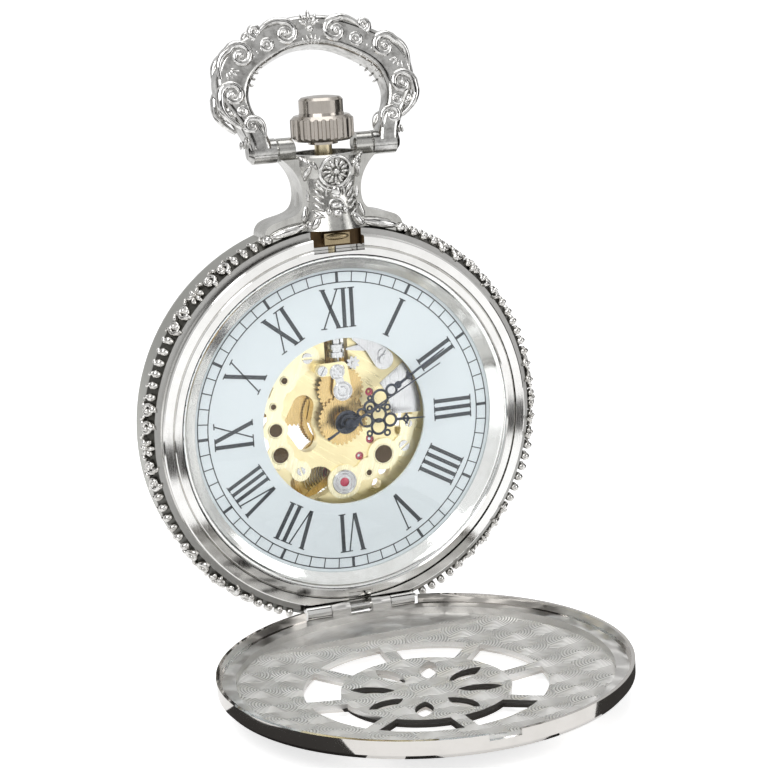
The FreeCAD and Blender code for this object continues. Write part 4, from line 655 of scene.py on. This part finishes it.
def blued(name):
    made, tree, shader, place = new_material(name)
    skin = put(tree, "Group", {"node_tree": METAL_SKIN}, Place=place, Line_Scale=7000.0,
               Stain_Scale=700.0)
    tint = put(tree, "Mix", {"data_type": "RGBA"}, s0=skin.outputs["Stain"],
               s6=(0.030, 0.036, 0.050, 1), s7=(0.075, 0.085, 0.110, 1))
    gloss = put(tree, "MapRange", None, Value=skin.outputs["Lines"], To_Min=0.25, To_Max=0.45)
    tree.links.new(tint.outputs[2], shader.inputs["Base Color"])
    tree.links.new(gloss.outputs[0], shader.inputs["Roughness"])
    shader.inputs["Metallic"].default_value = 0.75
    return made


BLUED = blued("blued_steel")


def hub(mesh, radius, bore, low, rise):
    """The collet that grips the arbor: a turned ring."""
    ring_plate(mesh, (radius + bore) / 2, radius - bore, low, rise, 40)


def drop(mesh, place, size, turn=0.0, steps=(8, 6)):
    """A bead, a leaf or a cap: a ball stretched to three half sizes and turned in its plane."""
    made = bmesh.ops.create_uvsphere(mesh, u_segments=steps[0], v_segments=steps[1], radius=1.0)
    bmesh.ops.transform(mesh, verts=made["verts"], matrix=Matrix.Translation(place)
                        @ Matrix.Rotation(math.radians(turn), 4, "Z")
                        @ Matrix.Diagonal((size[0], size[1], size[2], 1)))


def long_hand(name, length, turn, level, thickness, collet, bore, rings, cross, body):
    """A pierced hand: collet, stacked rings, a barbed cross and a needle point."""
    mesh = bmesh.new()
    middle = thickness / 2
    hub(mesh, collet, bore, 0, thickness * 1.4)
    hub(mesh, collet * 0.72, bore, 0, thickness * 2.0)
    strokes = []
    reach = collet
    for x, y, radius in rings:
        strokes.append(round_stroke(x, y, radius, 0.155, middle))
        reach = max(reach, y + radius)
    for x, y, radius in cross:
        strokes.append(round_stroke(x, y, radius, 0.125, middle, 14))
    wires(mesh, strokes, 1)
    first = min(y - radius for x, y, radius in rings)
    plate(mesh, [(-0.30, collet * 0.85), (0.30, collet * 0.85), (0.17, first + 0.1),
                 (-0.17, first + 0.1)], 0, thickness)
    plate(mesh, [(-0.17, reach - 0.12), (0.17, reach - 0.12), (0.05, length - 0.2), (0, length),
                 (-0.05, length - 0.2)], 0, thickness)
    barb = reach + (length - reach) * 0.22
    for side in (-1, 1):
        for root, tip in ((barb, barb + 0.55), (barb + 0.75, barb + 0.35)):
            points = [(0, root - 0.16), (side * 0.62, tip - 0.05), (side * 0.62, tip + 0.12),
                      (0, root + 0.16)]
            plate(mesh, points if side > 0 else points[::-1], 0, thickness)
    bmesh.ops.recalc_face_normals(mesh, faces=mesh.faces)
    matrix = UPRIGHT @ Matrix.Translation((0, 0, level)) @ clockwise(turn)
    new_piece(name, mesh, matrix, BLUED, body)


long_hand("hour_hand_pierced", length=9.6, turn=93.0, level=10.7, thickness=0.18, collet=1.45,
          bore=0.84, body="hour",
          rings=[(0, 2.35, 0.72), (-0.72, 3.85, 0.86), (0.72, 3.85, 0.86), (0, 5.25, 0.72)],
          cross=[(-1.5, 4.9, 0.32), (1.5, 4.9, 0.32), (-1.5, 2.75, 0.28), (1.5, 2.75, 0.28)])
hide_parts("hour_hand")
long_hand("minute_hand_pierced", length=14.3, turn=58.4, level=11.2, thickness=0.18, collet=1.05,
          bore=0.62, body="centre",
          rings=[(0, 1.95, 0.50), (0, 3.15, 0.66), (-0.10, 4.75, 0.92), (0, 6.35, 0.62)],
          cross=[(-0.85, 3.75, 0.24), (0.85, 3.75, 0.24), (0.0, 7.35, 0.32)])
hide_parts("minute_hand")


def seconds_hand():
    mesh = bmesh.new()
    hub(mesh, 0.62, 0.12, 0, 0.3)
    drop(mesh, (0, 0, 0.28), (0.60, 0.60, 0.24), 0, (20, 8))
    plate(mesh, [(-0.09, 0.3), (0.09, 0.3), (0.045, 12.8), (-0.045, 12.8)], 0.02, 0.14)
    plate(mesh, [(-0.16, -3.1), (0.16, -3.1), (0.09, -0.3), (-0.09, -0.3)], 0.02, 0.14)
    bmesh.ops.recalc_face_normals(mesh, faces=mesh.faces)
    made = new_piece("second_hand_needle", mesh, UPRIGHT @ Matrix.Translation((0, 0, 11.75))
                     @ clockwise(62.4), BLUED, "fourth")
    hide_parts("second_hand")


seconds_hand()


# The dial side of the movement, as it shows through the window: gilt bridges screwed to the plate,
# sinks bored into it and darkened by painted shade, a steel cover, and the jewel of the balance in
# its polished setting.
PLATE_FACE = 8.1
BRIDGE_RISE = 0.25
BALANCE_PLACE = (0, -7.6)
LOW_EYE = (0, 3.6)
HIGH_EYE = (-0.55, 5.9)


def disc(mesh, x, y, radius, low, rise, sides=36):
    turns = [2 * math.pi * place / sides for place in range(sides)]
    plate(mesh, [(x + radius * math.cos(a), y + radius * math.sin(a)) for a in turns], low, rise)


def screw(mesh, x, y, radius, low, turn=30.0):
    """A slotted head: two halves with the slot between them."""
    for half in (0, 180):
        turns = [math.radians(turn + half + 14 + 152 * place / 14) for place in range(15)]
        plate(mesh, [(x + radius * math.cos(a), y + radius * math.sin(a)) for a in turns], low, 0.16)


def linked(mesh, places, low):
    """A bridge: round bosses one after another, with webs between them, each a hair higher."""
    for order, (x, y, radius) in enumerate(places):
        disc(mesh, x, y, radius, low, BRIDGE_RISE + 0.004 * order, 44)
    for order in range(len(places) - 1):
        (x, y, radius), (far_x, far_y, far_radius) = places[order], places[order + 1]
        bar(mesh, (x, y), (far_x, far_y), 1.45 * min(radius, far_radius), low,
            BRIDGE_RISE - 0.004 * (order + 1))


def trim(name, material, low, draw):
    """One fixed piece of the movement, drawn face-on by the function given."""
    mesh = bmesh.new()
    draw(mesh)
    bmesh.ops.recalc_face_normals(mesh, faces=mesh.faces)
    new_piece(name, mesh, UPRIGHT @ Matrix.Translation((0, 0, low)), material, "watch")


PALE_GILT = metal("pale_gilt", (0.95, 0.88, 0.62), (0.78, 0.64, 0.36), 0.30, line_bump=0.15,
                  line_scale=5000.0, turn=(0, -20, 0))
# Painted shade: a dark brown for the depth of the sinks and of the catch's recess.
PAINTED_SHADE = metal("painted_depth_shade", (0.10, 0.065, 0.035), (0.03, 0.025, 0.02), 0.45, stain_scale=900.0)
LEFT_BOSSES = ((-3.6, 7.6, 1.5), (-6.5, 5.3, 1.5), (-8.0, 2.4, 1.2), (-7.9, -0.4, 1.5),
               (-7.5, -3.4, 1.6), (-5.2, -5.6, 1.2))
LOW_BOSSES = ((*BALANCE_PLACE, 2.05), (3.0, -6.4, 1.35), (5.0, -4.9, 1.9), (7.6, -4.2, 1.35),
              (8.3, -1.6, 1.1))
SINKS = ((-7.9, -0.4, 0.85), (-7.5, -3.4, 1.0), (5.0, -4.9, 1.15), (-6.5, 5.3, 0.45),
         (3.1, -6.9, 0.42), (-8.0, 2.4, 0.40))
SCREWS = ((-3.6, 7.6, 0.62), (7.6, -4.2, 0.62), (8.3, -1.6, 0.42), (-5.2, -5.6, 0.50))


def draw_bridges(mesh):
    linked(mesh, LEFT_BOSSES, 0)
    linked(mesh, LOW_BOSSES, 0)
    rims = [round_stroke(x, y, radius, 0.10, BRIDGE_RISE + 0.02) for x, y, radius in SINKS]
    wires(mesh, rims, 2)


# The sinks are flat dark discs: painted shade for their depth.
def draw_sink_shade(mesh):
    for x, y, radius in SINKS:
        disc(mesh, x, y, radius, BRIDGE_RISE + 0.022, 0.012)


def draw_screws(mesh):
    for order, (x, y, radius) in enumerate(SCREWS):
        screw(mesh, x, y, radius, BRIDGE_RISE + 0.03, 35.0 * order)
    screw(mesh, 5.4, 7.2, 0.55, 0.72, 60)


def draw_steel_cover(mesh):
    turns = [math.radians(-2 + 38 * place / 20) for place in range(21)]
    far, near = 9.9, 6.2
    outer = [(far * math.cos(a), far * math.sin(a)) for a in turns]
    inner = [(near * math.cos(a), near * math.sin(a)) for a in reversed(turns)]
    plate(mesh, outer + inner, 0, BRIDGE_RISE)


def draw_balance_setting(mesh):
    disc(mesh, *BALANCE_PLACE, 1.45, 0.27, 0.08)
    wires(mesh, [round_stroke(*BALANCE_PLACE, reach, 0.11, 0.36) for reach in (1.36, 0.98)], 2)


def draw_balance_cap(mesh):
    drop(mesh, (*BALANCE_PLACE, 0.36), (0.55, 0.55, 0.22), 0, (20, 8))


def draw_motion_cover(mesh):
    """The silvered cover over the minute wheel's post: a waisted plate with two rimmed eyes."""
    disc(mesh, *LOW_EYE, 1.15, 0, 0.10)
    disc(mesh, *HIGH_EYE, 0.90, 0, 0.104)
    bar(mesh, LOW_EYE, HIGH_EYE, 1.0, 0, 0.095)
    wires(mesh, [round_stroke(*LOW_EYE, 0.98, 0.09, 0.12),
                 round_stroke(*LOW_EYE, 0.52, 0.09, 0.12),
                 round_stroke(*HIGH_EYE, 0.74, 0.08, 0.12)], 2)
    for place in range(5):
        angle = math.radians(72 * place)
        drop(mesh, (HIGH_EYE[0] + 0.40 * math.cos(angle), HIGH_EYE[1] + 0.40 * math.sin(angle),
                    0.12), (0.13, 0.13, 0.07))


trim("dial_side_bridges", PALE_GILT, PLATE_FACE, draw_bridges)
trim("bridge_sink_shade", PAINTED_SHADE, PLATE_FACE, draw_sink_shade)
trim("bridge_screws", STEEL, PLATE_FACE, draw_screws)
trim("steel_cover", STEEL, PLATE_FACE, draw_steel_cover)
trim("balance_setting", STEEL, PLATE_FACE, draw_balance_setting)
trim("balance_cap", RUBY, PLATE_FACE, draw_balance_cap)
trim("motion_cover", STEEL, 9.76, draw_motion_cover)


# The lid's catch at 12 o'clock: a rounded tongue that stands in a recess of the flange. Thin dark
# plates line the recess's floor and walls as painted shade.
BROWNED = metal("browned_brass", (0.36, 0.29, 0.18), (0.12, 0.09, 0.06), 0.24, line_bump=0.08)
TONGUE_PLACE = (0, 21.72, 11.15)
TONGUE_HALF_SIZES = (1.48, 0.42, 0.50)
RECESS_NEAR = 20.5
RECESS_FAR = 22.6
RECESS_HALF_WIDTH = 2.93
WALL_PLACE = 2.95


def catch_tongue():
    mesh = bmesh.new()
    drop(mesh, TONGUE_PLACE, TONGUE_HALF_SIZES, 0, (24, 12))
    made = new_piece("catch_tongue", mesh, UPRIGHT, BROWNED, "latch")
    smooth(made)


def draw_recess_shade(mesh):
    plate(mesh, [(-RECESS_HALF_WIDTH, RECESS_NEAR), (RECESS_HALF_WIDTH, RECESS_NEAR),
                 (RECESS_HALF_WIDTH, RECESS_FAR), (-RECESS_HALF_WIDTH, RECESS_FAR)], 0.02, 0.02)
    for side in (-1, 1):
        bar(mesh, (side * WALL_PLACE, RECESS_NEAR), (side * WALL_PLACE, RECESS_FAR), 0.04, 0.02, 0.7)


finish_nodes(BROWNED, "spring_brass", "lid_latch")
trim("catch_recess_shade", PAINTED_SHADE, 10.2, draw_recess_shade)
catch_tongue()


# The chased band: a cast border round the front chamfer of the case, eight repeats of a flower
# between curled leaves, with a run of beads from one repeat to the next.
CHASED = metal("chased_plating", (0.74, 0.73, 0.71), (0.30, 0.28, 0.25), 0.12, line_bump=0.04,
               stain_scale=900.0, stain_share=0.7)
BAND_RADIUS = 23.05
BAND_RELIEF = 1.55
BAND_WIDTH = 2.148
BAND_SPREAD = 1.08
CHAMFER_RADIUS = 23.5
CHAMFER_HEIGHT = 8.9
GAP_AT_PENDANT = 8.1
GAP_AT_HINGE = 7.4


def curl(x, y, radius, start, sweep, wire, z=0.0, last=0.25, steps=16):
    """A stroke that winds in from its radius to a share of it, thinning a little."""
    points = []
    for step in range(steps):
        share = step / (steps - 1)
        angle = math.radians(start + sweep * share)
        reach = radius * (1 - (1 - last) * share)
        points.append((x + reach * math.cos(angle), y + reach * math.sin(angle), z,
                       wire * (1 - 0.35 * share)))
    return (points, False)


def band_repeat(mesh):
    """One repeat, drawn flat: x along the band, y across it and z proud of it."""
    for petal in range(6):
        angle = math.radians(60 * petal + 30)
        drop(mesh, (0.62 * math.cos(angle), 1.1 + 0.62 * math.sin(angle), 0.22), (0.46, 0.28, 0.30),
             60 * petal + 30)
    drop(mesh, (0, 1.1, 0.34), (0.27, 0.27, 0.28))
    strokes = []
    for side in (-1, 1):
        for place in (2.15, 4.15):
            strokes.append(curl(side * place, 1.2, 0.86, 90, -side * 430, 0.30, 0.18))
            drop(mesh, (side * place, 1.2, 0.28), (0.32, 0.32, 0.30))
            drop(mesh, (side * (place - 0.95), 0.35, 0.15), (0.52, 0.24, 0.26), side * 40)
            drop(mesh, (side * (place + 0.55), 0.28, 0.12), (0.48, 0.22, 0.24), -side * 35)
        for place in (5.75, 7.1, 8.4):
            drop(mesh, (side * place, 1.45, 0.24), (0.48, 0.48, 0.40))
            drop(mesh, (side * place - 0.15, 0.52, 0.14), (0.52, 0.25, 0.26), side * 55)
    wires(mesh, strokes, 1)


def wrap_band(mesh, turn):
    """Bend the flat border round the chamfer of the case."""
    slope = Vector((-0.9, 1.95))
    proud = Vector((1.95, 0.9)).normalized()
    for vert in mesh.verts:
        share = vert.co.y * BAND_SPREAD / BAND_WIDTH
        lift = BAND_RELIEF * vert.co.z
        radius = CHAMFER_RADIUS + slope.x * share + proud.x * lift
        height = CHAMFER_HEIGHT + slope.y * share + proud.y * lift
        angle = vert.co.x / BAND_RADIUS + math.radians(turn)
        vert.co = (radius * math.sin(angle), radius * math.cos(angle), height)


def chased_band():
    mesh = bmesh.new()
    for repeat in range(8):
        flat = bmesh.new()
        band_repeat(flat)
        wrap_band(flat, 45 * repeat)
        merge(mesh, flat)
    hidden = [vert for vert in mesh.verts
              if abs(vert.co.x) < (GAP_AT_PENDANT if vert.co.y > 0 else GAP_AT_HINGE)]
    bmesh.ops.delete(mesh, geom=hidden, context="VERTS")
    bmesh.ops.holes_fill(mesh, edges=[edge for edge in mesh.edges if edge.is_boundary], sides=0)
    bmesh.ops.recalc_face_normals(mesh, faces=mesh.faces)
    made = new_piece("chased_band", mesh, UPRIGHT, CHASED, "watch")
    smooth(made)


chased_band()


# The bow: a cast loop chased on both faces. A palmette crowns it, and scrolls run down each limb
# to the plain end barrels that turn on the pins.
STEM_HEIGHT = 8.1
BOW_FACE = 1.42
PIVOT = Vector((0, 31.6, STEM_HEIGHT))
BOW_PLACE = UPRIGHT @ Matrix.Translation(PIVOT) @ Matrix.Rotation(math.radians(-17), 4, "X")
GROUND = metal("cast_ground", (0.60, 0.595, 0.58), (0.12, 0.115, 0.105), 0.13, line_bump=0.04,
               stain_scale=900.0, stain_share=0.8)
CAST = metal("cast_scrolls", (0.80, 0.795, 0.78), (0.14, 0.13, 0.12), 0.09, line_bump=0.04,
             stain_scale=1300.0, stain_share=0.8)


def volute(start, lead, x, y, radius, angle, sweep, wire, z):
    """A scroll whose stem sweeps from a start, past a leading point, into a curl about (x, y)."""
    winding, closed = curl(x, y, radius, angle, sweep, wire, z, 0.2, 22)
    first = Vector(winding[0][:2])
    stem = []
    for step in range(9):
        share = step / 9
        spot = (Vector(start) * (1 - share) ** 2 + Vector(lead) * 2 * share * (1 - share)
                + first * share ** 2)
        stem.append((spot.x, spot.y, z, wire * (0.45 + 0.55 * share)))
    return (stem + winding, closed)


def draw_limb(limb, face):
    """The scrolls, beads and leaves of the right-hand limb, on its front face."""
    strokes = [
        volute((6.9, 12.3), (4.8, 14.9), 2.95, 12.9, 1.4, 80, 470, 0.52, face),
        volute((11.1, 8.2), (11.5, 10.6), 8.5, 10.7, 1.5, 25, 470, 0.55, face),
        volute((9.5, 2.6), (11.9, 4.3), 10.0, 6.3, 1.5, -15, 470, 0.55, face),
        volute((7.0, 1.3), (6.7, 3.2), 8.3, 2.7, 0.95, 130, -430, 0.42, face),
        curl(6.35, 13.35, 0.78, -80, 420, 0.42, face, 0.2),
        round_stroke(5.25, 11.75, 0.62, 0.32, face, 14),
        round_stroke(9.15, 4.45, 0.48, 0.28, face, 12),
    ]
    wires(limb, strokes, 2)
    for x, y in ((2.95, 12.9), (8.5, 10.7), (10.0, 6.3)):
        drop(limb, (x, y, face + 0.05), (0.42, 0.42, 0.46), 0, (10, 6))
    for place in range(17):
        angle = math.radians(-6 + 5.6 * place)
        reach = 1.0 + (0.075 if place % 2 else -0.065)
        drop(limb, (9.85 * reach * math.cos(angle), 4.6 + 8.75 * reach * math.sin(angle),
                    face - 0.30), (0.70, 0.40, 0.44), math.degrees(angle) + 62, (8, 6))
    for x, y in ((5.25, 11.75), (9.15, 4.45), (8.3, 2.7), (6.35, 13.35), (10.1, 4.0)):
        drop(limb, (x, y, face), (0.27, 0.27, 0.36))
    for place, turn in enumerate((200, 222, 244, 266)):
        angle = math.radians(turn)
        drop(limb, (10.4 + 1.15 * math.cos(angle), 9.5 + 1.05 * math.sin(angle), face - 0.08),
             (0.80 - 0.06 * place, 0.24, 0.36), turn)
    for place in range(4):
        drop(limb, (8.2 + 0.35 * place, 1.15 - 0.02 * place, face - 0.3), (0.16, 0.5, 0.35), 8)
    for place in range(3):
        drop(limb, (7.0 - 0.5 * place, 10.6 + 0.35 * place, face - 0.1), (0.2, 0.45, 0.32),
             -30 + 12 * place)
    for place in range(11):
        angle = math.radians(18 + 6.8 * place)
        drop(limb, (8.0 * math.cos(angle), 5.3 + 6.5 * math.sin(angle), face - 0.30),
             (0.24, 0.17, 0.40), math.degrees(angle), (6, 5))
    for turn, reach in ((62, 1.25), (34, 1.05)):
        angle = math.radians(turn)
        drop(limb, (0.15 + reach * 0.75 * math.cos(angle),
                    13.5 + reach * 0.75 * math.sin(angle), face), (reach * 0.62, 0.24, 0.42),
             turn)
    drop(limb, (0.45, 12.1, face - 0.05), (0.20, 0.62, 0.40), -12)
    drop(limb, (0.95, 12.0, face - 0.1), (0.18, 0.50, 0.34), -20)


def bow_chasing():
    mesh = bmesh.new()
    for side in (-1, 1):
        limb = bmesh.new()
        draw_limb(limb, BOW_FACE)
        bmesh.ops.scale(limb, vec=(side, 1, 1), verts=limb.verts)
        merge(mesh, limb)
    drop(mesh, (0, 14.55, BOW_FACE), (0.28, 0.95, 0.46))
    drop(mesh, (0, 13.25, BOW_FACE + 0.1), (0.55, 0.42, 0.40))
    drop(mesh, (0, 12.2, BOW_FACE), (0.20, 0.70, 0.42))
    front = mesh.verts[:] + mesh.edges[:] + mesh.faces[:]
    copied = bmesh.ops.duplicate(mesh, geom=front)
    behind = [part for part in copied["geom"] if isinstance(part, bmesh.types.BMVert)]
    bmesh.ops.scale(mesh, vec=(1, 1, -1), verts=behind)
    bmesh.ops.recalc_face_normals(mesh, faces=mesh.faces)
    made = new_piece("bow_chasing", mesh, BOW_PLACE, CAST, "bow_ring")
    smooth(made)


bow_chasing()
finish_nodes(GROUND, "case_silver", "bow")


# The pendant: cast in one with the case, with a twelve-petal rosette on its face, a bud under it
# and feathered leaves down both sides. The ornament is bent round the neck it stands on.
def neck_radius_at(level):
    """How far the pendant's face stands from the stem's line at a height."""
    profile = ((23.0, 4.6), (24.7, 3.8), (26.8, 3.45), (28.4, 3.7), (29.8, 4.3), (31.5, 4.3))
    for (low, small), (high, large) in zip(profile, profile[1:]):
        if level <= high:
            share = max(0.0, (level - low) / (high - low))
            return small + (large - small) * share
    return profile[-1][1]


def wrap_pendant(mesh):
    """Bend the flat ornament round the neck."""
    for vert in mesh.verts:
        radius = neck_radius_at(vert.co.y)
        angle = vert.co.x / radius
        reach = radius + vert.co.z
        vert.co = (reach * math.sin(angle), vert.co.y, STEM_HEIGHT + reach * math.cos(angle))


def pendant_chasing():
    mesh = bmesh.new()
    rosette = (0, 29.15)
    wires(mesh, [round_stroke(*rosette, 1.72, 0.20, 0.25, 32),
                 curl(*rosette, 2.15, 205, 130, 0.20, 0.1, 1.0),
                 curl(0, 26.75, 1.05, -20, 220, 0.18, 0.12, 1.0),
                 curl(0, 25.2, 0.85, -30, 240, 0.18, 0.10, 1.0)], 2)
    for petal in range(12):
        angle = math.radians(30 * petal)
        drop(mesh, (rosette[0] + 1.0 * math.cos(angle), rosette[1] + 1.0 * math.sin(angle), 0.25),
             (0.52, 0.19, 0.26), 30 * petal)
    drop(mesh, (*rosette, 0.35), (0.38, 0.38, 0.40), 0, (12, 8))
    drop(mesh, (0, 26.85, 0.22), (0.62, 0.80, 0.50), 0, (12, 8))
    drop(mesh, (0, 25.35, 0.20), (0.78, 0.42, 0.48), 0, (12, 8))
    drop(mesh, (0, 24.55, 0.20), (0.60, 0.42, 0.46), 0, (12, 8))
    for side in (-1, 1):
        drop(mesh, (side * 0.95, 24.75, 0.15), (0.34, 0.42, 0.34), side * 20)
        drop(mesh, (side * 3.3, 28.9, 0.05), (0.40, 1.15, 0.42), side * 24, (10, 8))
        drop(mesh, (side * 3.35, 26.7, 0.02), (0.34, 0.95, 0.38), side * -6, (10, 8))
        drop(mesh, (side * 3.9, 24.6, 0.02), (0.40, 1.05, 0.42), side * 22, (10, 8))
        drop(mesh, (side * 2.6, 23.6, 0.05), (0.42, 1.0, 0.42), side * 40, (10, 8))
        for place in range(5):
            drop(mesh, (side * (1.75 + 0.10 * place), 27.4 - 0.72 * place, 0.12),
                 (0.85, 0.22, 0.30), side * (48 - 4 * place))
        for place in range(4):
            drop(mesh, (side * (2.35 + 0.55 * place), 29.9 + 0.28 * place, 0.08),
                 (0.62, 0.20, 0.26), side * (60 - 10 * place))
    wrap_pendant(mesh)
    for side in (-1, 1):
        drop(mesh, (side * 5.3, 22.75, 10.45), (2.5, 0.62, 0.80), -side * 13, (16, 10))
        drop(mesh, (side * 3.0, 23.25, 11.0), (0.55, 0.55, 0.70), 0, (12, 8))
        drop(mesh, (side * 7.9, 21.95, 10.5), (0.62, 0.55, 0.62), 0, (12, 8))
    bmesh.ops.recalc_face_normals(mesh, faces=mesh.faces)
    made = new_piece("pendant_chasing", mesh, UPRIGHT, CAST, "watch")
    smooth(made)


NECK = metal("neck_plating", (0.56, 0.555, 0.53), (0.26, 0.255, 0.24), 0.20, line_bump=0.05,
             stain_scale=500.0, stain_share=0.6)
finish_nodes(NECK, "case_silver", "pendant")
pendant_chasing()
